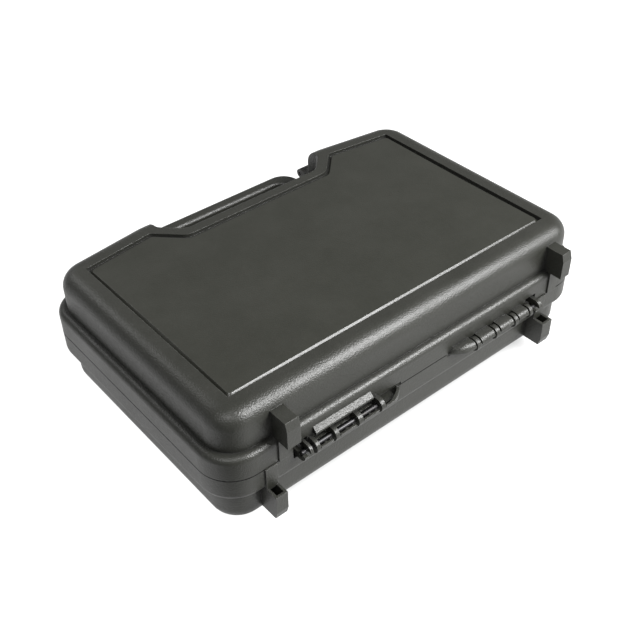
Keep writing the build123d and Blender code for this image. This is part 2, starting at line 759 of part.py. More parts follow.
def fuse_holder():
    """Open-top holder for a blade fuse, standing on the deck."""
    fx, fy = fuse_place
    w, d, h = fuse_size
    body = block((fx - w / 2, fx + w / 2), (fy - d / 2, fy + d / 2), (deck_top, deck_top + h))
    body = fillet(body.edges().filter_by(Axis.Z), box_wall)
    wide, deep, floor = fuse_well
    body -= block((fx - wide / 2, fx + wide / 2), (fy - deep / 2, fy + deep / 2),
                  (deck_top + floor, deck_top + h + slack))
    thick, long, drop = fuse_blade
    thick += 2 * rocker_fit
    long += 2 * rocker_fit
    for end in (-1, 1):
        y = fy + end * fuse_blade_pitch / 2
        body -= block((fx - thick / 2, fx + thick / 2), (y - long / 2, y + long / 2),
                      (deck_top + fuse_lift - drop - rocker_fit, deck_top + floor + slack))
    return body


def blade_fuse():
    """Plug-in blade fuse: moulded head and two blades."""
    fx, fy = fuse_place
    low = deck_top + fuse_lift
    wide, deep, high = fuse_head
    head = block((fx - wide / 2, fx + wide / 2), (fy - deep / 2, fy + deep / 2), (low, low + high))
    head = fillet(head.edges().filter_by(Axis.Z), wide / 5)
    thick, long, drop = fuse_blade
    for end in (-1, 1):
        y = fy + end * fuse_blade_pitch / 2
        head += block((fx - thick / 2, fx + thick / 2), (y - long / 2, y + long / 2), (low - drop, low))
    return head


def lid_foam():
    """Foam pad against the inside of the lid."""
    inset = cavity_edge + wall + foam_inset
    y = (body_front + inset, recess_y - wall - cavity_edge)
    x = body_x - inset
    plan = [(-x, y[0]), (x, y[0]), (x, y[1]), (-x, y[1])]
    return prism(plan, [foam_corner] * 4, floor_z - soft_gap - foam_thickness, floor_z - soft_gap)


def main():
    os.makedirs("parts", exist_ok=True)
    write_part(base_shell(), "base_shell")
    write_part(lid_shell(), "lid_shell")
    write_part(inset_plate(1), "lid_panel")
    write_part(inset_plate(-1), "base_panel")
    for name, side in (("left", -1), ("right", 1)):
        write_part(hinge_pin(side), f"hinge_pin_{name}")
        write_part(latch(side), f"latch_{name}")
        write_part(latch_pin(side), f"latch_pin_{name}")
    write_part(cell_cradle(), "cell_cradle")
    for column in range(cell_columns):
        for row in range(cell_rows):
            write_part(cell(column, row), f"cell_{column + 1}_{row + 1}")
    write_part(series_strips(), "series_strips")
    for name, place in TERMINALS.items():
        write_part(bus_bar(*place), f"bus_bar_{name}")
        write_part(terminal_stud(name), f"terminal_stud_{name}")
        write_part(terminal_knob(name), f"terminal_knob_{name}")
    write_part(deck_panel(), "deck_panel")
    write_part(deck_screws(), "deck_screws")
    write_part(control_box(), "control_box")
    write_part(protection_board(), "protection_board")
    write_part(switch_body(), "switch_body")
    write_part(rocker_button(), "rocker_button")
    write_part(fuse_holder(), "fuse_holder")
    write_part(blade_fuse(), "blade_fuse")
    write_part(lid_foam(), "lid_foam")
    print("axes", hinge_y - y_middle, half_height, "|", pivot_y - y_middle, latch_pivot_z + half_height)


main()
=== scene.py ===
"""Looks of the portable battery box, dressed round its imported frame.

The frame gives every CAD node at its place.  Each class below dresses one sub-assembly: it keeps
the sizes that the looks need as fields, builds finer meshes where the plain solid is not enough,
and gives every piece a procedural finish.  Lengths are in metres.
"""

import json
import logging
import math
from dataclasses import dataclass
from enum import Enum

import bmesh
import bpy
import numpy as np
from mathutils import Matrix, Vector


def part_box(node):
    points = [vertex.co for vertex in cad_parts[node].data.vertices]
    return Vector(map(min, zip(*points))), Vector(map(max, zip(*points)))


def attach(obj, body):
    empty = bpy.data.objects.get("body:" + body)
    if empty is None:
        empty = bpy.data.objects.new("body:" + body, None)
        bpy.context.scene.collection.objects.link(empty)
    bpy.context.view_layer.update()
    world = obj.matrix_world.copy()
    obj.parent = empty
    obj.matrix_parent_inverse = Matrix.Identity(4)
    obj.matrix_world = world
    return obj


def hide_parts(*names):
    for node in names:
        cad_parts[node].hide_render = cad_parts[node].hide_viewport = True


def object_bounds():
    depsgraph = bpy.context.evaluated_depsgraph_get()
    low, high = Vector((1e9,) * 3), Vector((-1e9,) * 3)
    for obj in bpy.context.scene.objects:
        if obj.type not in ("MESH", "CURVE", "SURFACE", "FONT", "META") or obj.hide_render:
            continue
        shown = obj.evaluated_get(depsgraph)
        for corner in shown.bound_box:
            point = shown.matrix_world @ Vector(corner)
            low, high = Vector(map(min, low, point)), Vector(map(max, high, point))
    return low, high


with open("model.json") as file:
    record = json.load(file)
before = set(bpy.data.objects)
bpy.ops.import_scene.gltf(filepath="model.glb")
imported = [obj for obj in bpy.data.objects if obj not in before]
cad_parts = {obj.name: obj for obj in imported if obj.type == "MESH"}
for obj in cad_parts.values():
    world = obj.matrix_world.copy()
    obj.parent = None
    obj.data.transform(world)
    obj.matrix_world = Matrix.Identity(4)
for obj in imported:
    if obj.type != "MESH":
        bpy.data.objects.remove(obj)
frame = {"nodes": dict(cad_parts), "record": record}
cad_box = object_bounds()

LOG = logging.getLogger("battery_box")
MM = 0.001
Triple = tuple[float, float, float]
Colour = Triple

# Socket types of the shared effects, and where a colour Mix node keeps its colour sockets.
NUMBER, VECTOR = "NodeSocketFloat", "NodeSocketVector"
MIX_FIRST, MIX_SECOND, MIX_RESULT = 6, 7, 2

# Rays that each rounded-edge or crease node sends out.
EDGE_RAYS = 4

# Settled dust, and the painted shade of a crease: its colour as a fraction of the plastic round it.
DUST_COLOUR: Colour = (0.42, 0.41, 0.38)
CREASE_SHADE = 0.15

# Loose corners of a CAD mesh this close are one, and edges turned by more than this are rounded.
WELD_REACH = 0.00001
ROUNDED_FROM = math.radians(40)


class Side(Enum):
    """Left or right of the case, as the sign of X."""

    LEFT = -1
    RIGHT = 1


class Gloss(Enum):
    """Roughness range of a moulded surface, smoothest spot first."""

    MATTE = (0.58, 0.72)
    TEXTURED = (0.32, 0.45)
    SATIN = (0.28, 0.40)
    SMOOTH = (0.27, 0.38)
    POLISHED = (0.12, 0.20)


# ------------------------------------------------------------------ surfaces
@dataclass
class Surface:
    """Points and four-sided faces of one or more closed surfaces."""

    points: np.ndarray
    faces: np.ndarray

    def placed(self, offset: Triple) -> "Surface":
        """Return the surface shifted by an offset."""
        return Surface(self.points + np.asarray(offset), self.faces)

    def swung(self, matrix: np.ndarray) -> "Surface":
        """Return the surface with every point multiplied by a 3 by 3 matrix."""
        return Surface(self.points @ matrix.T, self.faces)

    def to_object(self, name: str, material: bpy.types.Material,
                  crease: float) -> bpy.types.Object:
        """Make the surface an object in the scene.

        Args:
            name: the object's name.
            material: its finish.
            crease: angle in degrees over which an edge stays sharp.

        Returns:
            The new object, at the origin.
        """
        mesh = bpy.data.meshes.new(name)
        mesh.from_pydata(self.points, [], self.faces)
        work = bmesh.new()
        work.from_mesh(mesh)
        bmesh.ops.remove_doubles(work, verts=work.verts, dist=1e-7)
        bmesh.ops.recalc_face_normals(work, faces=work.faces)
        work.to_mesh(mesh)
        work.free()
        mesh.polygons.foreach_set("use_smooth", np.ones(len(mesh.polygons), dtype=bool))
        mesh.set_sharp_from_angle(angle=math.radians(crease))
        mesh.materials.append(material)
        piece = bpy.data.objects.new(name, mesh)
        bpy.context.scene.collection.objects.link(piece)
        return piece


def joined(parts: list[Surface]) -> Surface:
    """Join surfaces, each one's faces shifted past the points before it.

    Args:
        parts: the surfaces.

    Returns:
        One surface with all their points and faces.
    """
    starts = np.cumsum([0] + [len(part.points) for part in parts[:-1]])
    faces = [part.faces + start for part, start in zip(parts, starts)]
    return Surface(np.concatenate([part.points for part in parts]), np.concatenate(faces))


def grid_faces(rows: int, columns: int, close_rows: bool = False,
               close_columns: bool = False) -> np.ndarray:
    """Quads of a grid of points: each point with its neighbours one row and one column on.

    Args:
        rows: how many rows of points.
        columns: how many points in a row.
        close_rows: join the last row to the first.
        close_columns: join the last column to the first.

    Returns:
        An array of four point numbers for each face.
    """
    index = np.arange(rows * columns).reshape(rows, columns)
    if close_rows:
        index = np.concatenate([index, index[:1]])
    if close_columns:
        index = np.concatenate([index, index[:, :1]], axis=1)
    corners = (index[:-1, :-1], index[1:, :-1], index[1:, 1:], index[:-1, 1:])
    return np.stack([corner.ravel() for corner in corners], axis=1)


def turned_surface(along: np.ndarray, radius: np.ndarray, steps: int,
                   ring: bool = False) -> Surface:
    """Surface of revolution about Z: a point is (radius times cosine, radius times sine, height).

    Args:
        along: height of each profile point.
        radius: radius of each profile point, or of each profile point at each angle.
        steps: how many angles.
        ring: the profile is a closed loop; otherwise it starts and ends on the axis.

    Returns:
        The closed surface.
    """
    angle = np.arange(steps) * 2 * math.pi / steps
    reach = radius if radius.ndim == 2 else radius[:, None] * np.ones(steps)
    height = along if along.ndim == 2 else along[:, None] * np.ones(steps)
    points = np.stack([reach * np.cos(angle), reach * np.sin(angle), height], axis=2).reshape(-1, 3)
    return Surface(points, grid_faces(len(reach), steps, close_rows=ring, close_columns=True))


def edge_steps(half: float, edge: float, inner: int) -> np.ndarray:
    """Grid lines across a pad, crowded over its rounded edges.

    Over an edge the distance from the rim is the edge's width times one minus a cosine.  Between
    the edges the lines are evenly spaced.

    Args:
        half: half the pad's length.
        edge: width of a rounded edge.
        inner: how many lines lie between the edges.

    Returns:
        The places of the lines, from -half to half.
    """
    bend = edge * (1 - np.cos(np.linspace(0, math.pi / 2, 5)[:-1]))
    middle = np.linspace(-half + edge, half - edge, inner)
    return np.concatenate([-half + bend, middle, (half - bend)[::-1]])


def pad_grid(half: tuple[float, float], edge: float,
             inner: tuple[int, int]) -> tuple[np.ndarray, ...]:
    """Return X and Y of each point of a pad's grid, from the grid lines along X and along Y."""
    lines = [edge_steps(reach, edge, count) for reach, count in zip(half, inner)]
    return tuple(np.meshgrid(*lines, indexing="ij"))


def pillow(half: tuple[float, float], thick: float, corner: float, edge: float,
           inner: tuple[int, int], relief: np.ndarray | None = None) -> Surface:
    """Flat pad or plate with rounded corners and a rounded rim.

    Two sheets lie at plus and minus half the thickness times the square root of one minus the
    square of (one minus the distance to the rim over the edge width), so that they meet at the rim.
    In the corner squares the larger of the two distances becomes the radius, which rounds the plan.

    Args:
        half: half length along X and along Y.
        thick: full thickness.
        corner: plan radius.
        edge: width of the rounded rim.
        inner: how many grid lines lie inside the rim, along X and along Y.
        relief: height to add to the upper sheet at each grid point.

    Returns:
        The closed surface, its middle at the origin.
    """
    x, y = pad_grid(half, edge, inner)
    rim = np.minimum(half[0] - np.abs(x), half[1] - np.abs(y))
    rise = np.sqrt(np.clip(1 - (1 - np.clip(rim / edge, 0, 1)) ** 2, 0, 1))
    dx = np.clip(np.abs(x) - half[0] + corner, 0, None)
    dy = np.clip(np.abs(y) - half[1] + corner, 0, None)
    shrink = np.maximum(dx, dy) / np.maximum(np.hypot(dx, dy), 1e-12)
    inside = (dx > 0) & (dy > 0)
    px = np.where(inside, np.sign(x) * (half[0] - corner + dx * shrink), x)
    py = np.where(inside, np.sign(y) * (half[1] - corner + dy * shrink), y)
    upper = thick / 2 * rise + (0 if relief is None else relief * rise)
    sheets = []
    for height in (upper, -thick / 2 * rise):
        points = np.stack([px, py, height], axis=2).reshape(-1, 3)
        sheets.append(Surface(points, grid_faces(*x.shape)))
    return joined(sheets)


def rounded_outline(corners: np.ndarray, radii: np.ndarray, steps: int = 9,
                    side_steps: int = 12) -> np.ndarray:
    """Plan outline with an arc at each corner, and points along its sides.

    Each arc touches both sides at the radius times the tangent of half the turn from the corner.
    Its points are its centre plus the radius times a unit vector that swings from one side's normal
    to the other's.

    Args:
        corners: corner points in order, anticlockwise.
        radii: radius of each corner.
        steps: points in each arc.
        side_steps: points along each side, between its arcs.

    Returns:
        The outline's points.
    """
    back = np.roll(corners, 1, axis=0) - corners
    ahead = np.roll(corners, -1, axis=0) - corners
    back /= np.linalg.norm(back, axis=1)[:, None]
    ahead /= np.linalg.norm(ahead, axis=1)[:, None]
    cross = back[:, 0] * ahead[:, 1] - back[:, 1] * ahead[:, 0]
    half = np.arccos(np.clip((back * ahead).sum(axis=1), -1, 1)) / 2
    middle = (back + ahead) / np.linalg.norm(back + ahead, axis=1)[:, None]
    centre = corners + middle * (radii / np.sin(half))[:, None]
    reach = (radii / np.tan(half))[:, None]
    first = corners + back * reach - centre
    turn = (math.pi - 2 * half)[:, None]
    swing = np.linspace(0, 1, steps)[None, :] * turn * -np.sign(cross)[:, None]
    turn_x = first[:, :1] * np.cos(swing) - first[:, 1:] * np.sin(swing)
    turn_y = first[:, :1] * np.sin(swing) + first[:, 1:] * np.cos(swing)
    arcs = np.stack([centre[:, :1] + turn_x, centre[:, 1:] + turn_y], axis=2)
    ends = arcs[:, -1:]
    starts = np.roll(arcs[:, :1], -1, axis=0)
    along = np.linspace(0, 1, side_steps + 2)[None, 1:-1, None]
    sides = ends + (starts - ends) * along
    return np.concatenate([arcs, sides], axis=1).reshape(-1, 2)


def standing(axis: str) -> np.ndarray:
    """Matrix that lays a surface made about Z along another axis.

    Args:
        axis: "x" lays Z along X; "y" lays Z along Y.

    Returns:
        The 3 by 3 matrix.
    """
    if axis == "x":
        return np.array([[0.0, 0.0, 1.0], [1.0, 0.0, 0.0], [0.0, 1.0, 0.0]])
    return np.array([[1.0, 0.0, 0.0], [0.0, 0.0, 1.0], [0.0, -1.0, 0.0]])


# ------------------------------------------------------------------ shader groups
def new_group(name: str, inputs: list[tuple[str, str, float]],
              outputs: list[tuple[str, str]]) -> bpy.types.NodeTree:
    """Start a shader node group.

    Args:
        name: the group's name.
        inputs: name, socket type and default of each input.
        outputs: name and socket type of each output.

    Returns:
        The group, with its input and output nodes in place.
    """
    tree = bpy.data.node_groups.new(name, "ShaderNodeTree")
    for label, kind, default in inputs:
        socket = tree.interface.new_socket(name=label, in_out="INPUT", socket_type=kind)
        if kind == NUMBER:
            socket.default_value = default
    for label, kind in outputs:
        tree.interface.new_socket(name=label, in_out="OUTPUT", socket_type=kind)
    tree.nodes.new("NodeGroupInput")
    tree.nodes.new("NodeGroupOutput")
    return tree


def group_io(tree: bpy.types.NodeTree) -> tuple[bpy.types.Node, bpy.types.Node]:
    """Return the group's input node and output node."""
    return tree.nodes["Group Input"], tree.nodes["Group Output"]


def feed(tree: bpy.types.NodeTree, socket: bpy.types.NodeSocket, value: object) -> None:
    """Set an input to a number or colour, or link an output to it.

    Args:
        tree: the node tree.
        socket: the input.
        value: the number, the colour or the output.
    """
    if isinstance(value, bpy.types.NodeSocket):
        tree.links.new(value, socket)
    else:
        socket.default_value = value


def reckon(tree: bpy.types.NodeTree, operation: str, *values: object) -> bpy.types.NodeSocket:
    """Add a Math node.

    Args:
        tree: where the node goes.
        operation: Blender's name of the operation.
        values: a number or an output for each input.

    Returns:
        The result.
    """
    node = tree.nodes.new("ShaderNodeMath")
    node.operation = operation
    for socket, value in zip(node.inputs, values):
        feed(tree, socket, value)
    return node.outputs[0]


def noise(tree: bpy.types.NodeTree, vector: bpy.types.NodeSocket, scale: object,
          detail: float = 2.0, rough: float = 0.5) -> bpy.types.NodeSocket:
    """Add a noise texture.

    Args:
        tree: where the node goes.
        vector: the coordinates it reads.
        scale: a number or an output.
        detail: octaves.
        rough: roughness of the octaves.

    Returns:
        The noise value, about 0 to 1.
    """
    node = tree.nodes.new("ShaderNodeTexNoise")
    node.inputs["Detail"].default_value = detail
    node.inputs["Roughness"].default_value = rough
    tree.links.new(vector, node.inputs["Vector"])
    feed(tree, node.inputs["Scale"], scale)
    return node.outputs["Fac"]


def spread(tree: bpy.types.NodeTree, value: bpy.types.NodeSocket, low: object, high: object,
           to_low: object = 0.0, to_high: object = 1.0) -> bpy.types.NodeSocket:
    """Map a range of values to another one, clamped.

    Args:
        tree: where the node goes.
        value: the value to map.
        low: input that gives to_low.
        high: input that gives to_high.
        to_low: result at low.
        to_high: result at high.

    Returns:
        The mapped value.
    """
    node = tree.nodes.new("ShaderNodeMapRange")
    tree.links.new(value, node.inputs["Value"])
    for label, item in (("From Min", low), ("From Max", high),
                        ("To Min", to_low), ("To Max", to_high)):
        feed(tree, node.inputs[label], item)
    return node.outputs["Result"]


def scaled(tree: bpy.types.NodeTree, vector: bpy.types.NodeSocket,
           factors: Triple) -> bpy.types.NodeSocket:
    """Multiply coordinates by a factor along each axis.

    Args:
        tree: where the node goes.
        vector: the coordinates.
        factors: the factor for each axis.

    Returns:
        The multiplied coordinates.
    """
    node = tree.nodes.new("ShaderNodeVectorMath")
    node.operation = "MULTIPLY"
    node.inputs[1].default_value = factors
    tree.links.new(vector, node.inputs[0])
    return node.outputs["Vector"]


def mould_grain() -> bpy.types.NodeTree:
    """Spark-eroded mould texture: fine pits over noise, and a faint mottle for the colour.

    Returns:
        The group, with the relief's height and the mottle.
    """
    tree = new_group("MouldGrain", [("Vector", VECTOR, 0.0), ("Scale", NUMBER, 1500.0)],
                     [("Height", NUMBER), ("Mottle", NUMBER)])
    start, end = group_io(tree)
    vector, scale = start.outputs["Vector"], start.outputs["Scale"]
    fine = noise(tree, vector, scale, 3.0, 0.6)
    pits = tree.nodes.new("ShaderNodeTexVoronoi")
    tree.links.new(vector, pits.inputs["Vector"])
    tree.links.new(reckon(tree, "MULTIPLY", scale, 0.8), pits.inputs["Scale"])
    pit = spread(tree, pits.outputs["Distance"], 0.1, 0.7)
    height = reckon(tree, "ADD", reckon(tree, "MULTIPLY", fine, 0.6),
                    reckon(tree, "MULTIPLY", pit, 0.4))
    tree.links.new(height, end.inputs["Height"])
    broad = noise(tree, vector, 22.0, 4.0, 0.55)
    speck = noise(tree, vector, 420.0, 2.0, 0.5)
    mottle = reckon(tree, "ADD", reckon(tree, "MULTIPLY", broad, 0.6),
                    reckon(tree, "MULTIPLY", speck, 0.4))
    tree.links.new(spread(tree, mottle, 0.3, 0.7), end.inputs["Mottle"])
    return tree


def edge_wear() -> bpy.types.NodeTree:
    """Rubbed edges, lighter also as a painted edge highlight: where a rounded normal leaves the
    face's own normal, broken up by noise.

    Returns:
        The group, with the mask.
    """
    tree = new_group("EdgeWear", [("Vector", VECTOR, 0.0), ("Radius", NUMBER, 0.0006),
                                  ("Amount", NUMBER, 0.4)], [("Mask", NUMBER)])
    start, end = group_io(tree)
    bevel = tree.nodes.new("ShaderNodeBevel")
    bevel.samples = EDGE_RAYS
    tree.links.new(start.outputs["Radius"], bevel.inputs["Radius"])
    geometry = tree.nodes.new("ShaderNodeNewGeometry")
    dot = tree.nodes.new("ShaderNodeVectorMath")
    dot.operation = "DOT_PRODUCT"
    tree.links.new(bevel.outputs["Normal"], dot.inputs[0])
    tree.links.new(geometry.outputs["Normal"], dot.inputs[1])
    edge = spread(tree, reckon(tree, "SUBTRACT", 1.0, dot.outputs["Value"]), 0.02, 0.22)
    patch = spread(tree, noise(tree, start.outputs["Vector"], 130.0, 4.0, 0.6), 0.38, 0.66)
    worn = reckon(tree, "MULTIPLY", edge, patch)
    tree.links.new(reckon(tree, "MULTIPLY", worn, start.outputs["Amount"]), end.inputs["Mask"])
    return tree


def fine_dust() -> bpy.types.NodeTree:
    """Fine dust: on faces that look up in the piece's own frame, in clouds and specks.

    Returns:
        The group, with the mask.
    """
    tree = new_group("FineDust", [("Vector", VECTOR, 0.0), ("Normal", VECTOR, 0.0),
                                  ("Amount", NUMBER, 0.1)], [("Mask", NUMBER)])
    start, end = group_io(tree)
    split = tree.nodes.new("ShaderNodeSeparateXYZ")
    tree.links.new(start.outputs["Normal"], split.inputs[0])
    up = spread(tree, split.outputs["Z"], 0.2, 1.0)
    cloud = spread(tree, noise(tree, start.outputs["Vector"], 35.0, 5.0, 0.65), 0.35, 0.75)
    speck = spread(tree, noise(tree, start.outputs["Vector"], 1900.0, 1.0, 0.5), 0.66, 0.78)
    both = reckon(tree, "ADD", reckon(tree, "MULTIPLY", cloud, 0.4), speck)
    settled = reckon(tree, "MULTIPLY", up, both)
    tree.links.new(reckon(tree, "MULTIPLY", settled, start.outputs["Amount"]), end.inputs["Mask"])
    return tree


def drawn_lines() -> bpy.types.NodeTree:
    """Fine drawn lines along X: noise read through coordinates that are squeezed along one axis.

    Returns:
        The group, with the lines' height.
    """
    tree = new_group("DrawnLines", [("Vector", VECTOR, 0.0), ("Scale", NUMBER, 900.0)],
                     [("Height", NUMBER)])
    start, end = group_io(tree)
    long = scaled(tree, start.outputs["Vector"], (0.04, 1.0, 1.0))
    tree.links.new(noise(tree, long, start.outputs["Scale"], 3.0, 0.6), end.inputs["Height"])
    return tree


def crevice() -> bpy.types.NodeTree:
    """Creases, gaps and narrow grooves: where the piece itself shades a spot from close by.

    Returns:
        The group, with the mask of the creases, where the colour is darkened as painted shade, and
        that of the open surface, which falls to 0 where the creases begin.
    """
    tree = new_group("Crevice", [("Vector", VECTOR, 0.0), ("Reach", NUMBER, 0.0018)],
                     [("Mask", NUMBER), ("Open", NUMBER)])
    start, end = group_io(tree)
    shade = tree.nodes.new("ShaderNodeAmbientOcclusion")
    shade.samples = EDGE_RAYS
    shade.only_local = True
    tree.links.new(start.outputs["Reach"], shade.inputs["Distance"])
    dark = reckon(tree, "SUBTRACT", 1.0, shade.outputs["AO"])
    # Painted shade: the darkness of the creases, broken into patches by noise.
    shade_patches = spread(tree, noise(tree, start.outputs["Vector"], 180.0, 3.0, 0.6), 0.3, 0.6, 0.75, 1.0)
    mask = reckon(tree, "MULTIPLY", spread(tree, dark, 0.16, 0.55), shade_patches)
    tree.links.new(mask, end.inputs["Mask"])
    tree.links.new(spread(tree, dark, 0.03, 0.15, 1.0, 0.0), end.inputs["Open"])
    return tree


def foam_pores() -> bpy.types.NodeTree:
    """Open cells of foam: distance to the nearest cell wall at two sizes.

    Returns:
        The group, with the height, which is highest on the walls.
    """
    tree = new_group("FoamPores", [("Vector", VECTOR, 0.0), ("Scale", NUMBER, 900.0)],
                     [("Height", NUMBER)])
    start, end = group_io(tree)
    walls = []
    for factor in (1.0, 2.3):
        node = tree.nodes.new("ShaderNodeTexVoronoi")
        node.feature = "DISTANCE_TO_EDGE"
        tree.links.new(start.outputs["Vector"], node.inputs["Vector"])
        scale = reckon(tree, "MULTIPLY", start.outputs["Scale"], factor)
        tree.links.new(scale, node.inputs["Scale"])
        walls.append(spread(tree, node.outputs["Distance"], 0.02, 0.2, 1.0, 0.0))
    height = reckon(tree, "MAXIMUM", walls[0], reckon(tree, "MULTIPLY", walls[1], 0.6))
    tree.links.new(height, end.inputs["Height"])
    return tree


class Effect(Enum):
    """Shared effects and the function that builds each."""

    GRAIN = "mould_grain"
    WEAR = "edge_wear"
    DUST = "fine_dust"
    DRAWN = "drawn_lines"
    PORES = "foam_pores"
    CREVICE = "crevice"

    def tree(self) -> bpy.types.NodeTree:
        """Find the effect's node group, which is built on first use.

        Returns:
            The group.
        """
        if self not in BUILT:
            BUILT[self] = MAKERS[self]()
        return BUILT[self]


MAKERS = {Effect.GRAIN: mould_grain, Effect.WEAR: edge_wear, Effect.DUST: fine_dust,
          Effect.DRAWN: drawn_lines, Effect.PORES: foam_pores, Effect.CREVICE: crevice}
BUILT: dict[Effect, bpy.types.NodeTree] = {}


# ------------------------------------------------------------------ finishes
class Sheet:
    """One material's node sheet: places nodes and links for the finishes below."""

    def __init__(self, name: str) -> None:
        """Open an empty material with one Principled shader.

        Args:
            name: the material's name.
        """
        self.material = bpy.data.materials.new(name)
        self.material.use_nodes = True
        self.tree = self.material.node_tree
        self.shader = self.tree.nodes["Principled BSDF"]
        self.coordinates = self.tree.nodes.new("ShaderNodeTexCoord")
        self.place = self.coordinates.outputs["Object"]

    def effect(self, effect: Effect, **values: float) -> bpy.types.Node:
        """Place a shared effect that reads the piece's own coordinates.

        Args:
            effect: which shared effect.
            values: numbers for its inputs, by name.

        Returns:
            The group node.
        """
        node = self.tree.nodes.new("ShaderNodeGroup")
        node.node_tree = effect.tree()
        self.tree.links.new(self.place, node.inputs["Vector"])
        if "Normal" in node.inputs:
            self.tree.links.new(self.coordinates.outputs["Normal"], node.inputs["Normal"])
        for label, value in values.items():
            node.inputs[label].default_value = value
        return node

    def mix(self, mask: bpy.types.NodeSocket, first: object,
            second: object) -> bpy.types.NodeSocket:
        """Blend two colours by a mask.

        Args:
            mask: 0 gives the first colour, 1 the second.
            first: a colour or an output.
            second: a colour or an output.

        Returns:
            The blended colour.
        """
        node = self.tree.nodes.new("ShaderNodeMix")
        node.data_type = "RGBA"
        self.tree.links.new(mask, node.inputs["Factor"])
        for place, value in ((MIX_FIRST, first), (MIX_SECOND, second)):
            linked = isinstance(value, bpy.types.NodeSocket)
            feed(self.tree, node.inputs[place], value if linked else (*value, 1.0))
        return node.outputs[MIX_RESULT]

    def wire(self, label: str, value: bpy.types.NodeSocket) -> None:
        """Feed one of the shader's inputs from an output."""
        self.tree.links.new(value, self.shader.inputs[label])

    def fixed(self, **values: object) -> None:
        """Set the shader's own sockets; underscores in a name stand for spaces."""
        for label, value in values.items():
            self.shader.inputs[label.replace("_", " ")].default_value = value

    def relief(self, height: bpy.types.NodeSocket, depth: float, soft_edge: float = 0.0) -> None:
        """Feed a bump into the shader's normal.

        Args:
            height: the height, 0 to 1.
            depth: what a height of 1 is, in metres.
            soft_edge: radius by which sharp edges are shaded round.
        """
        node = self.tree.nodes.new("ShaderNodeBump")
        node.inputs["Distance"].default_value = depth
        self.tree.links.new(height, node.inputs["Height"])
        if soft_edge > 0:
            bevel = self.tree.nodes.new("ShaderNodeBevel")
            bevel.samples = EDGE_RAYS
            bevel.inputs["Radius"].default_value = soft_edge
            self.tree.links.new(bevel.outputs["Normal"], node.inputs["Normal"])
        self.wire("Normal", node.outputs["Normal"])


@dataclass(frozen=True)
class MouldedPlastic:
    """Textured, satin or polished moulded plastic."""

    name: str
    base: Colour
    light: Colour
    gloss: Gloss = Gloss.TEXTURED
    grain: float = 1500.0
    depth: float = 0.00005
    wear: float = 0.35
    # Colour of rubbed edges; where it is light it also stands in as a painted edge highlight.
    worn: Colour = (0.11, 0.11, 0.10)
    dust: float = 0.04
    specular: float = 0.5
    coat: float = 0.0
    soft_edge: float = 0.0004
    reach: float = 0.0018

    def build(self) -> bpy.types.Material:
        """Make the plastic: rubbed and lighter on its outer edges, partly as a painted edge
        highlight, and dull in its creases, with painted shade there.

        Returns:
            The material.
        """
        sheet = Sheet(self.name)
        grain = sheet.effect(Effect.GRAIN, Scale=self.grain)
        crease = sheet.effect(Effect.CREVICE, Reach=self.reach)
        wear = sheet.effect(Effect.WEAR, Amount=self.wear)
        dust = sheet.effect(Effect.DUST, Amount=self.dust)
        body = sheet.mix(grain.outputs["Mottle"], self.base, self.light)
        rubbed_and_lit = reckon(sheet.tree, "MULTIPLY", wear.outputs["Mask"], crease.outputs["Open"])
        body = sheet.mix(rubbed_and_lit, body, self.worn)
        body = sheet.mix(dust.outputs["Mask"], body, DUST_COLOUR)
        # Painted shade: in the creases the colour falls to CREASE_SHADE times the plastic's own.
        shaded = tuple(CREASE_SHADE * part for part in self.base)
        sheet.wire("Base Color", sheet.mix(crease.outputs["Mask"], body, shaded))
        gloss = spread(sheet.tree, grain.outputs["Mottle"], 0.0, 1.0, *self.gloss.value)
        sheet.wire("Roughness", reckon(sheet.tree, "MAXIMUM", gloss, crease.outputs["Mask"]))
        sheet.relief(grain.outputs["Height"], self.depth, self.soft_edge)
        sheet.fixed(Specular_IOR_Level=self.specular, Coat_Weight=self.coat, Coat_Roughness=0.12)
        return sheet.material


@dataclass(frozen=True)
class DrawnMetal:
    """Steel, brass, nickel or copper with drawn or turned lines and light staining."""

    name: str
    base: Colour
    stain: Colour
    rough: tuple[float, float] = (0.22, 0.38)
    scale: float = 900.0
    depth: float = 0.00001

    def build(self) -> bpy.types.Material:
        """Make the metal: drawn lines, stains, and bare edges.

        Returns:
            The material.
        """
        sheet = Sheet(self.name)
        lines = sheet.effect(Effect.DRAWN, Scale=self.scale)
        wear = sheet.effect(Effect.WEAR, Amount=0.5)
        patch = spread(sheet.tree, noise(sheet.tree, sheet.place, 160.0, 4.0, 0.6), 0.35, 0.75)
        body = sheet.mix(patch, self.base, self.stain)
        sheet.wire("Base Color", sheet.mix(wear.outputs["Mask"], body, self.base))
        sheet.wire("Roughness", spread(sheet.tree, lines.outputs["Height"], 0.3, 0.7, *self.rough))
        sheet.relief(lines.outputs["Height"], self.depth, 0.0002)
        sheet.fixed(Metallic=1.0)
        return sheet.material


@dataclass(frozen=True)
class ShrinkWrap:
    """Thin glossy film round a cell, with faint rings of shrinkage and scuffs along it."""

    name: str
    base: Colour
    light: Colour

    def build(self) -> bpy.types.Material:
        """Make the film: rings round the cell and scuffs along it.

        Returns:
            The material.
        """
        sheet = Sheet(self.name)
        squeezed = scaled(sheet.tree, sheet.place, (1.0, 0.1, 0.1))
        rings = noise(sheet.tree, squeezed, 260.0, 3.0, 0.6)
        scuffs = sheet.effect(Effect.DRAWN, Scale=1400.0)
        scuff = spread(sheet.tree, scuffs.outputs["Height"], 0.6, 0.75)
        sheet.wire("Base Color", sheet.mix(rings, self.base, self.light))
        sheet.wire("Roughness", spread(sheet.tree, scuff, 0.0, 1.0, 0.18, 0.4))
        sheet.relief(rings, 0.00008)
        sheet.fixed(Coat_Weight=0.3, Coat_Roughness=0.1)
        return sheet.material


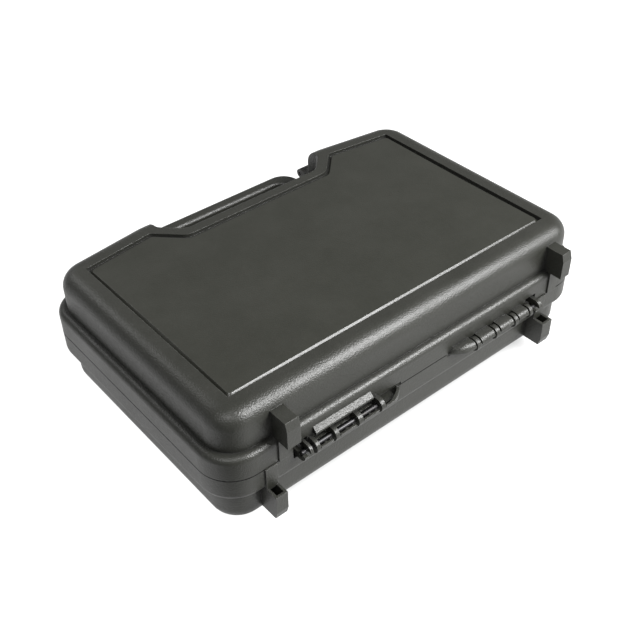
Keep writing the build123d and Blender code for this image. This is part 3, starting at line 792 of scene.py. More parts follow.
@dataclass(frozen=True)
class CellFoam:
    """Open-cell foam: pitted, dull, with painted shade in its pores."""

    name: str
    base: Colour
    light: Colour
    scale: float = 900.0

    def build(self) -> bpy.types.Material:
        """Make the foam: lighter on its cell walls, with painted shade in the pores between them.

        Returns:
            The material.
        """
        sheet = Sheet(self.name)
        pores = sheet.effect(Effect.PORES, Scale=self.scale)
        sheet.wire("Base Color", sheet.mix(pores.outputs["Height"], self.base, self.light))
        sheet.wire("Roughness", spread(sheet.tree, pores.outputs["Height"], 0.0, 1.0, 0.95, 0.8))
        sheet.relief(pores.outputs["Height"], 0.0004)
        sheet.fixed(Specular_IOR_Level=0.2, Sheen_Weight=0.1, Sheen_Roughness=0.5)
        return sheet.material


@dataclass(frozen=True)
class CircuitBoard:
    """Solder mask over copper tracks: a grid of lines that shows lighter through the mask."""

    name: str
    mask: Colour
    track: Colour
    pitch: float = 900.0

    def build(self) -> bpy.types.Material:
        """Make the board: broken lines that show lighter.

        Returns:
            The material.
        """
        sheet = Sheet(self.name)
        brick = sheet.tree.nodes.new("ShaderNodeTexBrick")
        brick.inputs["Scale"].default_value = self.pitch
        brick.inputs["Mortar Size"].default_value = 0.06
        sheet.tree.links.new(sheet.place, brick.inputs["Vector"])
        broken = spread(sheet.tree, noise(sheet.tree, sheet.place, 300.0, 3.0, 0.6), 0.45, 0.6)
        line = reckon(sheet.tree, "MULTIPLY", brick.outputs["Fac"], broken)
        sheet.wire("Base Color", sheet.mix(line, self.mask, self.track))
        sheet.wire("Roughness", spread(sheet.tree, line, 0.0, 1.0, 0.3, 0.42))
        sheet.relief(line, 0.00003, 0.0002)
        return sheet.material


class Finishes:
    """Every finish of the box, built once and looked up by the record's slot name."""

    RECIPES = (
        # Painted highlight: the case's and plates' rubbed edges are strong and light, so that they
        # also stand in for edge highlights.
        MouldedPlastic("case_plastic", (0.0175, 0.0180, 0.0145), (0.0215, 0.0220, 0.0180),
                       grain=1400.0, depth=0.00017, wear=0.6, worn=(0.16, 0.16, 0.15),
                       reach=0.0045),
        MouldedPlastic("plate_plastic", (0.0205, 0.0212, 0.0165), (0.0235, 0.0242, 0.0192),
                       Gloss.SMOOTH, depth=0.00006, wear=0.5, worn=(0.16, 0.16, 0.15),
                       soft_edge=0.0002),
        # Painted shadow: near-black, matte finish of the bead along the parting line.
        MouldedPlastic("seal_rubber", (0.0012, 0.0012, 0.0012), (0.0020, 0.0020, 0.0020),
                       Gloss.MATTE, wear=0.0, dust=0.0, specular=0.08, depth=0.00001),
        MouldedPlastic("latch_plastic", (0.018, 0.018, 0.017), (0.023, 0.023, 0.022), Gloss.SATIN),
        MouldedPlastic("tray_plastic", (0.06, 0.06, 0.065), (0.075, 0.075, 0.08), Gloss.MATTE),
        MouldedPlastic("deck_plastic", (0.035, 0.037, 0.040), (0.046, 0.048, 0.052), Gloss.SATIN,
                       dust=0.06),
        MouldedPlastic("box_plastic", (0.030, 0.030, 0.032), (0.038, 0.038, 0.040)),
        MouldedPlastic("switch_plastic", (0.016, 0.016, 0.016), (0.020, 0.020, 0.020),
                       Gloss.POLISHED, wear=0.2),
        MouldedPlastic("rocker_plastic", (0.42, 0.022, 0.016), (0.47, 0.028, 0.020),
                       Gloss.POLISHED, wear=0.1, depth=0.00001, worn=(0.5, 0.1, 0.08)),
        MouldedPlastic("knob_red", (0.40, 0.018, 0.014), (0.46, 0.024, 0.018),
                       Gloss.POLISHED, depth=0.00001, worn=(0.5, 0.12, 0.1), coat=0.2),
        MouldedPlastic("knob_black", (0.014, 0.014, 0.015), (0.019, 0.019, 0.020),
                       Gloss.POLISHED, depth=0.00001, coat=0.2),
        MouldedPlastic("fuse_plastic", (0.70, 0.30, 0.02), (0.78, 0.38, 0.03),
                       Gloss.POLISHED, depth=0.00001, wear=0.1, worn=(0.8, 0.5, 0.2), coat=0.4),
        MouldedPlastic("mark_white", (0.70, 0.70, 0.68), (0.78, 0.78, 0.76), Gloss.SATIN,
                       depth=0.00001, worn=(0.6, 0.6, 0.58)),
        DrawnMetal("pin_steel", (0.050, 0.050, 0.052), (0.030, 0.028, 0.026), rough=(0.38, 0.55)),
        DrawnMetal("screw_steel", (0.56, 0.56, 0.58), (0.40, 0.40, 0.40)),
        DrawnMetal("nickel", (0.70, 0.68, 0.64), (0.55, 0.53, 0.48)),
        DrawnMetal("copper", (0.72, 0.36, 0.20), (0.42, 0.20, 0.12)),
        DrawnMetal("brass", (0.78, 0.58, 0.24), (0.55, 0.38, 0.16)),
        ShrinkWrap("cell_wrap", (0.020, 0.10, 0.28), (0.028, 0.13, 0.34)),
        CellFoam("foam", (0.008, 0.008, 0.009), (0.034, 0.034, 0.037)),
        CircuitBoard("circuit_board", (0.012, 0.10, 0.04), (0.04, 0.20, 0.08)),
    )

    def __init__(self) -> None:
        """Build them all."""
        self.by_slot = {recipe.name: recipe.build() for recipe in self.RECIPES}
        slots = {part["node"]: part["material_slot"] for part in frame["record"]["subparts"]}
        self.by_node = {node: self.by_slot[slot] for node, slot in slots.items()}
        LOG.info("built %d finishes", len(self.by_slot))

    def dress(self, node: str, bevel: float = 0.0) -> None:
        """Give one CAD node its finish; its own mesh stays as it is.

        Args:
            node: the CAD node's name.
            bevel: width of its rounded edges, in metres, or 0 for none.
        """
        piece = frame["nodes"][node]
        piece.data.materials.clear()
        piece.data.materials.append(self.by_node[node])
        weld = piece.modifiers.new("weld", "WELD")
        weld.merge_threshold = WELD_REACH
        if bevel > 0:
            edge = piece.modifiers.new("edge", "BEVEL")
            edge.width = bevel
            edge.segments = 2
            edge.limit_method = "ANGLE"
            edge.angle_limit = ROUNDED_FROM
            edge.use_clamp_overlap = True
        LOG.info("dressed %s", node)

    def stand_in(self, surface: Surface, name: str, slot: str, body: str,
                 nodes: tuple[str, ...] = (), crease: float = 35.0) -> bpy.types.Object:
        """Add a new piece, with or without a CAD node that it stands for.

        Args:
            surface: its shape, in place.
            name: its name.
            slot: its material slot.
            body: the CAD body that it rides on.
            nodes: the CAD nodes that it replaces.
            crease: angle in degrees over which an edge stays sharp.

        Returns:
            The new object.
        """
        piece = surface.to_object(name, self.by_slot[slot], crease)
        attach(piece, body)
        if nodes:
            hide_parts(*nodes)
        LOG.info("added %s", name)
        return piece


# ------------------------------------------------------------------ sub-assemblies
def middle_of(node: str) -> Vector:
    """Return the middle of a CAD node's box."""
    low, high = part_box(node)
    return (low + high) / 2


@dataclass
class CaseShells:
    """The two moulded halves and their inset plates."""

    plate_slope: float = 1.6 * MM
    plate_drop: float = 1.3 * MM
    plate_roll: float = 0.2 * MM
    shade_strip_half: float = 0.28 * MM
    shade_strip_proud: float = 0.06 * MM
    step_deep: float = 15.7 * MM
    step_half: float = 51.6 * MM
    corner_low: float = 5.8 * MM
    corner: float = 2.2 * MM
    step_radii: tuple[float, float] = (3.0 * MM, 8.0 * MM)
    spine_half: float = 60.0 * MM
    spine_at: float = 0.45
    rings_under: tuple[float, ...] = (1.0, 0.5, 0.0)
    rings_above: tuple[float, ...] = (0.04, 0.2, 0.45, 0.72, 1.0)
    plate_crease: float = 30.0

    def plate(self, node: str) -> Surface:
        """Inset plate with a sloped rim.

        The plan is the CAD plate's own, with a step round the handle.  Ring by ring the outline
        moves toward the nearest point of a spine along X: up a straight slope, over an edge rolled
        by the roll's radius times a sine and one minus a cosine, and then flat to the spine.

        Args:
            node: the CAD plate that it follows.

        Returns:
            The closed surface, face up.
        """
        low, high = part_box(node)
        inner, step = self.step_half, high.y - self.step_deep
        outer = inner + self.step_deep
        right = np.array([[high.x, low.y], [high.x, high.y - self.corner_low],
                          [outer, high.y], [inner, step]])
        left = right[::-1] * np.array([-1.0, 1.0])
        near, far = self.step_radii
        radii = np.array([self.corner, self.corner, near, far, far, near, self.corner, self.corner])
        outline = rounded_outline(np.concatenate([right, left]), radii)
        spine = np.stack([np.clip(outline[:, 0], -self.spine_half, self.spine_half),
                          np.full(len(outline), low.y + (high.y - low.y) * self.spine_at)], axis=1)
        toward = (spine - outline) / np.linalg.norm(spine - outline, axis=1)[:, None]
        bend = np.linspace(math.atan2(self.plate_drop, self.plate_slope), 0, 5)
        inward = np.concatenate([[0.0], self.plate_slope - self.plate_roll * np.sin(bend)])
        rim = outline[None] + toward[None] * inward[:, None, None]
        rim_z = high.z - np.concatenate([[self.plate_drop], self.plate_roll * (1 - np.cos(bend))])
        above = np.array(self.rings_above)[:, None, None]
        below = np.array(self.rings_under)[:, None, None]
        flat = rim[-1] + (spine - rim[-1])[None] * above
        under = outline[None] + (spine - outline)[None] * below
        plan = np.concatenate([under, rim, flat])
        rise = np.concatenate([np.full(len(under), low.z), rim_z, np.full(len(flat), high.z)])
        height = np.broadcast_to(rise[:, None, None], (*plan.shape[:2], 1))
        points = np.concatenate([plan, height], axis=2).reshape(-1, 3)
        return Surface(points, grid_faces(*plan.shape[:2], close_columns=True))

    def parting_edge(self, level: float) -> np.ndarray:
        """Outer edge of the base's flat parting face, read from the frame's own mesh.

        The edge is walked from its leftmost corner, each border edge leading to the next.

        Args:
            level: height of the parting plane.

        Returns:
            The edge's points in plan, anticlockwise.
        """
        work = bmesh.new()
        work.from_mesh(frame["nodes"]["base_shell"].data)
        bmesh.ops.remove_doubles(work, verts=work.verts, dist=1e-6)
        flat = {face for face in work.faces
                if abs(face.normal.z) > 0.99 and abs(face.calc_center_median().z - level) < 1e-5}
        after = {}
        for face in flat:
            for loop in face.loops:
                if sum(other in flat for other in loop.edge.link_faces) == 1:
                    after[loop.vert.index] = loop.link_loop_next.vert.index
        work.verts.ensure_lookup_table()
        path = [min(after, key=lambda index: work.verts[index].co.x)]
        while after[path[-1]] != path[0] and len(path) < len(after):
            path.append(after[path[-1]])
        edge = np.array([work.verts[index].co.xy for index in path])
        work.free()
        x, y = edge.T
        return edge if (x * np.roll(y, -1) - np.roll(x, -1) * y).sum() > 0 else edge[::-1]

    def shade_strip(self) -> Surface:
        """Painted shadow: a thin black bead that stands in for the shade in the gap where the
        halves meet.

        Each point of the parting edge moves out along the mean of its two sides' normals, over
        their cosine to that mean, by five small steps that make the bead's section.

        Returns:
            The closed ring.
        """
        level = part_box("lid_shell")[1].z / 2
        edge = self.parting_edge(level)
        side = np.roll(edge, -1, axis=0) - edge
        normal = np.stack([side[:, 1], -side[:, 0]], axis=1) / np.linalg.norm(side, axis=1)[:, None]
        mean = normal + np.roll(normal, 1, axis=0)
        mean /= np.maximum(np.linalg.norm(mean, axis=1), 0.2)[:, None]
        mean /= np.maximum((mean * normal).sum(axis=1), 0.6)[:, None]
        out = np.array([0.08, 0.8, 1.0, 0.8, 0.08]) * self.shade_strip_proud
        rise = np.array([-1.0, -0.6, 0.0, 0.6, 1.0]) * self.shade_strip_half + level
        plan = edge[None] + mean[None] * out[:, None, None]
        height = np.broadcast_to(rise[:, None, None], (*plan.shape[:2], 1))
        points = np.concatenate([plan, height], axis=2).reshape(-1, 3)
        return Surface(points, grid_faces(*plan.shape[:2], close_rows=True, close_columns=True))

    def build(self, finishes: Finishes) -> None:
        """Dress both halves, add the black bead of painted shadow along the parting line and
        replace both plates; the base's plate faces down.

        Args:
            finishes: the box's finishes.
        """
        finishes.stand_in(self.shade_strip(), "parting_seal", "seal_rubber", "base")
        for node in ("base_shell", "lid_shell"):
            finishes.dress(node)
        finishes.stand_in(self.plate("lid_panel"), "lid_plate", "plate_plastic", "lid",
                          ("lid_panel",), self.plate_crease)
        lower = self.plate("base_panel")
        low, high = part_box("base_panel")
        lower = lower.swung(np.diag([-1.0, 1.0, -1.0])).placed((0.0, 0.0, low.z + high.z))
        finishes.stand_in(lower, "base_plate", "plate_plastic", "base", ("base_panel",),
                          self.plate_crease)


@dataclass
class Hinges:
    """The two hinge pins, each turned with a domed end."""

    dome: float = 0.45 * MM
    steps: int = 32

    def build(self, finishes: Finishes) -> None:
        """Replace each pin by a turned one.

        The radius is the pin's own but for the ends, where a quarter circle takes it in: the height
        is the dome times one minus a cosine, and the radius loses the dome times one minus a sine.

        Args:
            finishes: the box's finishes.
        """
        for side in Side:
            node = f"hinge_pin_{side.name.lower()}"
            low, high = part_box(node)
            radius = (high.z - low.z) / 2
            bend = np.linspace(0, math.pi / 2, 6)
            ends = np.concatenate([[0.0], self.dome * (1 - np.cos(bend))])
            reach = np.concatenate([[0.0], radius - self.dome * (1 - np.sin(bend))])
            length = high.x - low.x
            along = np.concatenate([ends, (length - ends)[::-1]])
            pin = turned_surface(along, np.concatenate([reach, reach[::-1]]), self.steps)
            centre = (low.x, (low.y + high.y) / 2, (low.z + high.z) / 2)
            pin = pin.swung(standing("x")).placed(centre)
            body = "lid" if side is Side.LEFT else "base"
            finishes.stand_in(pin, f"pin_{side.name.lower()}", "pin_steel", body, (node,))


@dataclass
class Latches:
    """Two over-centre levers with finger ribs, on their pins."""

    bevel: float = 0.3 * MM
    pin_bevel: float = 0.1 * MM
    rib_half: tuple[float, float] = (8.5 * MM, 0.7 * MM)
    rib_thick: float = 1.0 * MM
    rib_pitch: float = 3.0 * MM
    rib_count: int = 4
    tip_to_rib: float = 8.0 * MM
    tip_curl: float = 1.6 * MM

    def build(self, finishes: Finishes) -> None:
        """Dress the levers and pins and add the ribs.

        A rib is a pillow laid against the lever's outer face, half sunk into it.

        Args:
            finishes: the box's finishes.
        """
        for side in Side:
            word = side.name.lower()
            finishes.dress(f"latch_{word}", self.bevel)
            finishes.dress(f"latch_pin_{word}", self.pin_bevel)
            low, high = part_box(f"latch_{word}")
            outer = high.y - self.tip_curl
            corner = self.rib_half[1]
            rib = pillow(self.rib_half, self.rib_thick, corner, corner * 0.9, (14, 3))
            rib = rib.swung(standing("y"))
            places = [((low.x + high.x) / 2, outer, low.z + self.tip_to_rib + row * self.rib_pitch)
                      for row in range(self.rib_count)]
            ribs = joined([rib.placed(place) for place in places])
            finishes.stand_in(ribs, f"latch_ribs_{word}", "latch_plastic", f"latch_{word}")


@dataclass
class CellPack:
    """Twelve wrapped cells in their cradle, with welded strips and the two bus bars."""

    columns: int = 3
    rows: int = 4
    steps: int = 56
    cap_high: float = 1.2 * MM
    cap_radius: float = 4.5 * MM
    fold: float = 12.6 * MM
    groove_from_end: float = 4.4 * MM
    groove_deep: float = 0.6 * MM
    groove_half: float = 1.5 * MM
    end_dip: float = 0.35 * MM
    end_roll: float = 0.9 * MM

    def wrap_profile(self, length: float, radius: float) -> tuple[np.ndarray, np.ndarray]:
        """Profile of the film round one cell, from one end's middle to the other's.

        The film is the can's own radius, less the crimp groove's depth times a squared cosine near
        the positive end.  Both ends round over by a quarter circle and fold in, and the recess
        inside the fold is a little deeper.

        Args:
            length: the can's length.
            radius: the can's radius.

        Returns:
            Heights and radii of the profile points.
        """
        dip, turn = self.end_dip, self.end_roll
        bend = np.linspace(0, math.pi / 2, 6)
        start_h = np.concatenate([[dip, dip, 0.05 * MM], turn * (1 - np.cos(bend))])
        start_r = np.concatenate([[0.0, self.fold, self.fold + 0.3 * MM],
                                  radius - turn * (1 - np.sin(bend))])
        reach = np.linspace(-1, 1, 9)
        groove_h = length - self.groove_from_end + reach * self.groove_half
        groove_r = radius - self.groove_deep * np.cos(reach * math.pi / 2) ** 2
        heights = np.concatenate([start_h, [length * 0.3, length * 0.6], groove_h,
                                  (length - start_h)[::-1]])
        radii = np.concatenate([start_r, [radius, radius], groove_r, start_r[::-1]])
        return heights, radii

    def end_discs(self, length: float) -> tuple[Surface, Surface]:
        """Bare metal of one cell's two ends and the insulating ring round its cap.

        Each is a short profile turned about the cell's axis, a little below the fold of its film.

        Args:
            length: the can's length.

        Returns:
            The metal, a stamped disc and a stepped cap, and the ring, a flat washer.
        """
        edge = self.fold - 0.1 * MM
        disc_h = np.array([0.34, 0.34, 0.16, 0.10, 0.10, 0.20, 0.20]) * MM
        disc_r = np.array([0.0, edge, edge, edge - 0.4 * MM, 0.55 * edge, 0.5 * edge, 0.0])
        disc = turned_surface(disc_h, disc_r, self.steps)
        cap = self.cap_radius
        cap_h = np.array([-0.34 * MM, -0.34 * MM, -0.1 * MM,
                          0.9 * self.cap_high, self.cap_high, self.cap_high])
        cap_r = np.array([0.0, 1.15 * cap, 1.12 * cap, 0.98 * cap, 0.9 * cap, 0.0])
        top = turned_surface(length + cap_h, cap_r, self.steps)
        washer_h = length + np.array([-0.34, -0.34, -0.06, -0.06]) * MM
        washer_r = np.array([1.2 * cap, edge, edge, 1.2 * cap])
        return joined([disc, top]), turned_surface(washer_h, washer_r, self.steps, ring=True)

    def cells(self, finishes: Finishes) -> None:
        """Replace every cell by a wrapped one and add the ends and rings of all of them.

        Cells in odd rows point along X and those in even rows against it.

        Args:
            finishes: the box's finishes.
        """
        metal, rings = [], []
        for column in range(1, self.columns + 1):
            for row in range(1, self.rows + 1):
                node = f"cell_{column}_{row}"
                low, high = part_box(node)
                toward = 1 if row % 2 else -1
                radius = (high.z - low.z) / 2
                length = high.x - low.x - self.cap_high
                turn = standing("x") if toward > 0 else np.diag([-1.0, -1.0, 1.0]) @ standing("x")
                foot = low.x if toward > 0 else high.x
                place = (foot, (low.y + high.y) / 2, (low.z + high.z) / 2)
                wrap = turned_surface(*self.wrap_profile(length, radius), self.steps)
                finishes.stand_in(wrap.swung(turn).placed(place), f"wrapped_{node}", "cell_wrap",
                                  "base", (node,))
                ends, ring = self.end_discs(length)
                metal.append(ends.swung(turn).placed(place))
                rings.append(ring.swung(turn).placed(place))
        finishes.stand_in(joined(metal), "cell_end_metal", "nickel", "base")
        finishes.stand_in(joined(rings), "cell_end_rings", "mark_white", "base")

    def build(self, finishes: Finishes) -> None:
        """Dress the cradle, strips and bars and build the cells.

        Args:
            finishes: the box's finishes.
        """
        finishes.dress("cell_cradle", 0.15 * MM)
        finishes.dress("series_strips", 0.08 * MM)
        for name in ("positive", "negative"):
            finishes.dress(f"bus_bar_{name}", 0.12 * MM)
        self.cells(finishes)


@dataclass
class Terminals:
    """Threaded studs with flange nuts and lobed clamp knobs."""

    thread_pitch: float = 1.0 * MM
    thread_deep: float = 0.45 * MM
    steps: int = 72
    nut_high: float = 2.6 * MM
    nut_half: float = 5.0 * MM
    lobes: int = 12
    lobe_deep: float = 1.0 * MM
    knob_roll: float = 1.0 * MM
    dish_rim: float = 2.6 * MM
    dish_slope: float = 0.6 * MM
    dish_deep: float = 0.5 * MM
    knob_crease: float = 50.0

    def stud(self, low: float, high: float, radius: float) -> Surface:
        """Threaded rod with chamfered ends.

        The radius is the outer one less the thread depth times a triangle wave of the height over
        the pitch minus the turn; near each end it is no more than the distance to the end plus a
        core.

        Args:
            low: height of its foot.
            high: height of its top.
            radius: outer radius.

        Returns:
            The closed surface, about Z.
        """
        height = np.linspace(low, high, int((high - low) / self.thread_pitch * 10))
        angle = np.arange(self.steps) / self.steps
        phase = (height[:, None] / self.thread_pitch - angle) % 1.0
        reach = radius - self.thread_deep * np.abs(2 * phase - 1)
        limit = np.minimum(height - low, high - height) + radius - 1.2 * self.thread_deep
        reach = np.minimum(reach, limit[:, None])
        closed = np.concatenate([np.zeros((1, self.steps)), reach, np.zeros((1, self.steps))])
        return turned_surface(np.concatenate([[low], height, [high]]), closed, self.steps)

    def nut(self, low: float, bore: float) -> Surface:
        """Six-sided nut with chamfered corners.

        Each radius is half the width across flats over the cosine of the angle from the nearest
        flat's middle, but at the top and bottom no more than that half width plus a little.

        Args:
            low: height of its foot.
            bore: radius of its hole.

        Returns:
            The closed ring, about Z.
        """
        angle = np.arange(self.steps) * 2 * math.pi / self.steps
        flat = self.nut_half / np.cos((angle + math.pi / 6) % (math.pi / 3) - math.pi / 6)
        worn = np.minimum(flat, 1.04 * self.nut_half)
        hole = np.full(self.steps, bore)
        rows = np.stack([hole, worn, flat, flat, worn, hole])
        height = low + np.array([0.0, 0.0, 0.25, 0.75, 1.0, 1.0]) * self.nut_high
        return turned_surface(height, rows, self.steps, ring=True)

    def knob(self, low: float, high: float, radius: float, bore: float) -> Surface:
        """Lobed hand knob.

        Each radius is the outer one less the lobe depth times half of one minus the cosine of the
        lobe count times the angle.  The upper and lower rims roll over by a quarter circle, and the
        top is dished inside its rim.

        Args:
            low: height of its foot.
            high: height of its top.
            radius: outer radius.
            bore: radius of its hole.

        Returns:
            The closed ring, about Z.
        """
        roll = self.knob_roll
        bend = np.linspace(0, math.pi / 2, 6)
        lower, upper = low + roll * (1 - np.cos(bend)), high - roll * (1 - np.cos(bend[::-1]))
        rim = radius - roll * (1 - np.sin(bend))
        angle = np.arange(2 * self.steps) * math.pi / self.steps
        lobe = self.lobe_deep * (1 - np.cos(self.lobes * angle)) / 2
        outer = np.concatenate([rim[:, None] - lobe, rim[::-1][:, None] - lobe])
        hole = np.full((1, len(angle)), bore)
        dish = np.full((1, len(angle)), radius - self.dish_rim)
        rows = np.concatenate([hole, outer, dish, dish - self.dish_slope, hole])
        sink = high - self.dish_deep
        height = np.concatenate([[low], lower, upper, [high, sink, sink]])
        return turned_surface(height, rows, 2 * self.steps, ring=True)

    def build(self, finishes: Finishes) -> None:
        """Replace the studs and knobs of both terminals; a stud has its flange nut on the deck.

        Args:
            finishes: the box's finishes.
        """
        deck_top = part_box("deck_panel")[1].z
        radius = self.nut_half * 0.6
        for name, colour in (("positive", "knob_red"), ("negative", "knob_black")):
            low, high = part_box(f"terminal_stud_{name}")
            centre = middle_of(f"terminal_stud_{name}")
            knob_low, knob_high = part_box(f"terminal_knob_{name}")
            stud = joined([self.stud(low.z, high.z, radius),
                           self.nut(deck_top, radius - self.thread_deep)])
            knob = self.knob(knob_low.z, knob_high.z, (knob_high.x - knob_low.x) / 2, radius * 1.02)
            place = (centre.x, centre.y, 0.0)
            finishes.stand_in(stud.placed(place), f"stud_{name}", "brass", "base",
                              (f"terminal_stud_{name}",))
            finishes.stand_in(knob.placed(place), f"knob_{name}", colour, "base",
                              (f"terminal_knob_{name}",), self.knob_crease)


@dataclass
class Deck:
    """The deck over the cells, its screws, the control box, switch and fuse."""

    mark_half: tuple[float, float] = (2.6 * MM, 0.6 * MM)
    mark_high: float = 0.24 * MM
    mark_inward: float = 13.0 * MM
    bevels: tuple[tuple[str, float], ...] = (
        ("deck_panel", 0.2 * MM),
        ("deck_screws", 0.08 * MM),
        ("control_box", 0.0),
        ("protection_board", 0.1 * MM),
        ("switch_body", 0.15 * MM),
        ("rocker_button", 0.2 * MM),
        ("fuse_holder", 0.3 * MM),
        ("blade_fuse", 0.25 * MM),
    )

    def marks(self) -> Surface:
        """Plus and minus marks on the deck, each beside its own terminal; a bar is a thin pillow.

        Returns:
            The marks as one surface.
        """
        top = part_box("deck_panel")[1].z
        corner = self.mark_half[1]
        bar = pillow(self.mark_half, self.mark_high, corner, corner * 0.6, (10, 4))
        upright = bar.swung(np.array([[0.0, -1.0, 0.0], [1.0, 0.0, 0.0], [0.0, 0.0, 1.0]]))
        plus, minus = (middle_of(f"terminal_stud_{name}") for name in ("positive", "negative"))
        return joined([
            bar.placed((plus.x - self.mark_inward, plus.y, top)),
            upright.placed((plus.x - self.mark_inward, plus.y, top)),
            bar.placed((minus.x - self.mark_inward, minus.y, top)),
        ])

    def build(self, finishes: Finishes) -> None:
        """Dress every piece on the deck and add the marks.

        Args:
            finishes: the box's finishes.
        """
        for node, bevel in self.bevels:
            finishes.dress(node, bevel)
        finishes.stand_in(self.marks(), "terminal_marks", "mark_white", "base")


@dataclass
class LidLining:
    """Egg-crate foam pad against the inside of the lid."""

    pitch: float = 17.0 * MM
    wave: float = 3.4 * MM
    corner: float = 6.0 * MM
    roll: float = 1.8 * MM
    samples: int = 9
    pad_crease: float = 60.0

    def build(self, finishes: Finishes) -> None:
        """Replace the plain pad.

        The lower face is the pad's own, less the wave depth times half of one minus the product of
        a cosine along X and a cosine along Y, so that it never leaves the plain pad's box.

        Args:
            finishes: the box's finishes.
        """
        low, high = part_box("lid_foam")
        half = ((high.x - low.x) / 2, (high.y - low.y) / 2)
        thick = high.z - low.z
        inner = tuple(int(2 * reach / self.pitch * self.samples) for reach in half)
        x, y = pad_grid(half, self.roll, inner)
        swell = np.cos(2 * math.pi * x / self.pitch) * np.cos(2 * math.pi * y / self.pitch)
        relief = -self.wave * (1 - swell) / 2
        pad = pillow(half, thick, self.corner, self.roll, inner, relief)
        upside = pad.swung(np.diag([1.0, -1.0, -1.0])).placed(tuple((low + high) / 2))
        piece = finishes.stand_in(upside, "foam_lining", "foam", "lid", ("lid_foam",),
                                  self.pad_crease)


# ------------------------------------------------------------------ studio
@dataclass(frozen=True)
class Softbox:
    """One square soft light, hung by its direction from the point that it lights."""

    name: str
    toward: Triple
    distance: float
    size: float
    power: float

    def hang(self, aim: Vector) -> None:
        """Put the light in the scene, turned to a point.

        Args:
            aim: the point.
        """
        data = bpy.data.lights.new(self.name, "AREA")
        data.size = self.size
        data.energy = self.power
        lamp = bpy.data.objects.new(self.name, data)
        bpy.context.scene.collection.objects.link(lamp)
        lamp.location = aim + Vector(self.toward).normalized() * self.distance
        lamp.rotation_euler = (aim - lamp.location).to_track_quat("-Z", "Y").to_euler()


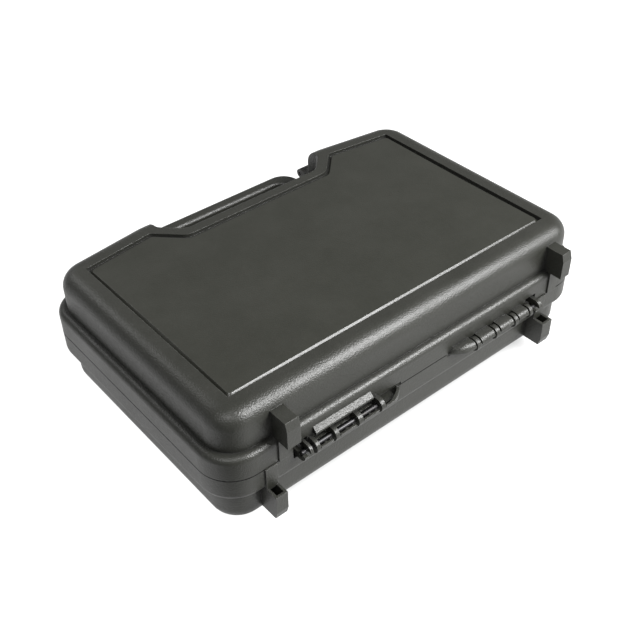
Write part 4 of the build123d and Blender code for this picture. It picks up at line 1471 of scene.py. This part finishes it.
@dataclass
class Studio:
    """Pale floor, soft lights and the camera."""

    azimuth: float = -39.53
    elevation: float = 40.01
    roll: float = -1.00
    distance: float = 2.5307
    aside: float = 0.0036
    above: float = 0.0665
    lens: float = 53.85
    film_width: float = 36.0
    plate_half: float = 64.2 * MM
    aim_height: float = 0.03
    floor_half: float = 12.0
    sky: float = 0.30
    floor_glow: float = 0.78
    shade_from: float = -32 * MM
    shade_to: float = -8 * MM
    shade_corner: float = 48 * MM
    flag_reach: float = 45 * MM
    flag_left: float = 0.15
    boxes: tuple[Softbox, ...] = (
        Softbox("front_key", (0.42, -0.643, 0.62), 1.25, 0.62, 35.0),
        Softbox("front_left", (-0.50, -0.42, 0.76), 1.25, 0.40, 4.0),
        Softbox("back_rim", (-0.25, 0.75, 0.70), 1.4, 0.5, 2.5),
    )

    def axes(self) -> tuple[Vector, Vector, Vector]:
        """Work out the camera's directions from its three angles.

        Returns:
            Its right, its up and its back.
        """
        turn, rise = math.radians(self.azimuth), math.radians(self.elevation)
        roll = math.radians(self.roll)
        flat = math.cos(rise)
        back = Vector((math.sin(turn) * flat, -math.cos(turn) * flat, math.sin(rise)))
        right = Vector((0, 0, 1)).cross(back).normalized()
        up = back.cross(right)
        cosine, sine = math.cos(roll), math.sin(roll)
        return right * cosine + up * sine, up * cosine - right * sine, back

    def camera(self) -> None:
        """Set the camera; its distances are in lengths of the inset plate.

        They are counted from a point half way up the case, plate_half behind the plate's front
        edge.
        """
        low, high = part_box("lid_panel")
        unit = high.x - low.x
        centre = Vector((0.0, low.y + self.plate_half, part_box("lid_shell")[1].z / 2))
        right, up, back = self.axes()
        data = bpy.data.cameras.new("camera")
        data.lens = self.lens
        data.sensor_width = self.film_width
        camera = bpy.data.objects.new("camera", data)
        bpy.context.scene.collection.objects.link(camera)
        place = centre + (back * self.distance - right * self.aside - up * self.above) * unit
        turned = Matrix((right, up, back)).transposed().to_4x4()
        camera.matrix_world = Matrix.Translation(place) @ turned
        bpy.context.scene.camera = camera

    def outside(self, sheet: Sheet) -> bpy.types.NodeSocket:
        """Mask of the painted shadow: 0 under the box and 1 away from it.

        The distance past the box's plan is that of a rectangle with round corners: the length of
        how far a point lies past the corner centres along each axis, less the corner radius.

        Args:
            sheet: the floor's node sheet.

        Returns:
            The mask.
        """
        split = sheet.tree.nodes.new("ShaderNodeSeparateXYZ")
        sheet.tree.links.new(sheet.place, split.inputs[0])
        squares = []
        for axis in (0, 1):
            low, high = cad_box[0][axis], cad_box[1][axis]
            away = reckon(sheet.tree, "ABSOLUTE",
                          reckon(sheet.tree, "SUBTRACT", split.outputs[axis], (low + high) / 2))
            past = reckon(sheet.tree, "SUBTRACT", away, (high - low) / 2 - self.shade_corner)
            past = reckon(sheet.tree, "MAXIMUM", past, 0.0)
            squares.append(reckon(sheet.tree, "POWER", past, 2.0))
        length = reckon(sheet.tree, "SQRT", reckon(sheet.tree, "ADD", *squares))
        return spread(sheet.tree, length, self.shade_corner + self.shade_from,
                      self.shade_corner + self.shade_to)

    def flagged(self, sheet: Sheet) -> bpy.types.NodeSocket:
        """Floor glow that the box sees: dimmed past its front left corner, as behind a black card.

        Args:
            sheet: the floor's node sheet.

        Returns:
            The glow, full elsewhere.
        """
        split = sheet.tree.nodes.new("ShaderNodeSeparateXYZ")
        sheet.tree.links.new(sheet.place, split.inputs[0])
        past = [reckon(sheet.tree, "SUBTRACT", cad_box[0][axis], split.outputs[axis])
                for axis in (0, 1)]
        inside = reckon(sheet.tree, "MINIMUM", *past)
        return spread(sheet.tree, inside, -0.5 * self.flag_reach, 0.5 * self.flag_reach,
                      self.floor_glow, self.floor_glow * self.flag_left)

    def floor(self) -> None:
        """Lay a pale floor that glows, so that it stays white round the box; under the box glow and
        colour fall away as a painted shadow.
        """
        reach = self.floor_half
        mesh = bpy.data.meshes.new("floor")
        corners = [(-reach, -reach, 0), (reach, -reach, 0), (reach, reach, 0), (-reach, reach, 0)]
        mesh.from_pydata(corners, [], [(0, 1, 2, 3)])
        floor = bpy.data.objects.new("floor", mesh)
        bpy.context.scene.collection.objects.link(floor)
        sheet = Sheet("floor_paper")
        fibre = noise(sheet.tree, sheet.place, 400.0, 2.0)
        sheet.wire("Roughness", spread(sheet.tree, fibre, 0.0, 1.0, 0.85, 0.95))
        apart = self.outside(sheet)
        ray = sheet.tree.nodes.new("ShaderNodeLightPath")
        level = reckon(sheet.tree, "MAXIMUM", ray.outputs["Is Camera Ray"], self.flagged(sheet))
        glow = reckon(sheet.tree, "MULTIPLY", apart, level)
        sheet.wire("Emission Color", sheet.mix(glow, (0.0, 0.0, 0.0), (1.0, 1.0, 1.0)))
        # Painted shadow: the base colour follows the glow, dark under the box and, for light that
        # reaches the box, darker still past its front left corner.
        sheet.wire("Base Color", sheet.mix(glow, (0.03, 0.03, 0.03), (0.22, 0.22, 0.22)))
        sheet.fixed(Specular_IOR_Level=0.1, Emission_Strength=1.0)
        mesh.materials.append(sheet.material)

    def build(self) -> None:
        """Make the floor, the world, the lights and the camera."""
        self.floor()
        world = bpy.data.worlds.new("studio")
        world.use_nodes = True
        sky = world.node_tree.nodes["Background"]
        sky.inputs["Color"].default_value = (1.0, 1.0, 1.0, 1.0)
        ray = world.node_tree.nodes.new("ShaderNodeLightPath")
        feed(world.node_tree, sky.inputs["Strength"],
             reckon(world.node_tree, "MAXIMUM", ray.outputs["Is Camera Ray"], self.sky))
        bpy.context.scene.world = world
        bpy.context.scene.view_settings.view_transform = "Standard"
        for box in self.boxes:
            box.hang(Vector((0.0, 0.0, self.aim_height)))
        self.camera()


def main() -> None:
    """Dress every sub-assembly, then light and frame it."""
    logging.basicConfig(level=logging.INFO, format="%(name)s %(message)s")
    finishes = Finishes()
    for part in (CaseShells(), Hinges(), Latches(), CellPack(), Terminals(), Deck(), LidLining()):
        LOG.info("building %s", type(part).__name__)
        part.build(finishes)
    Studio().build()


if __name__ == "__main__":
    main()
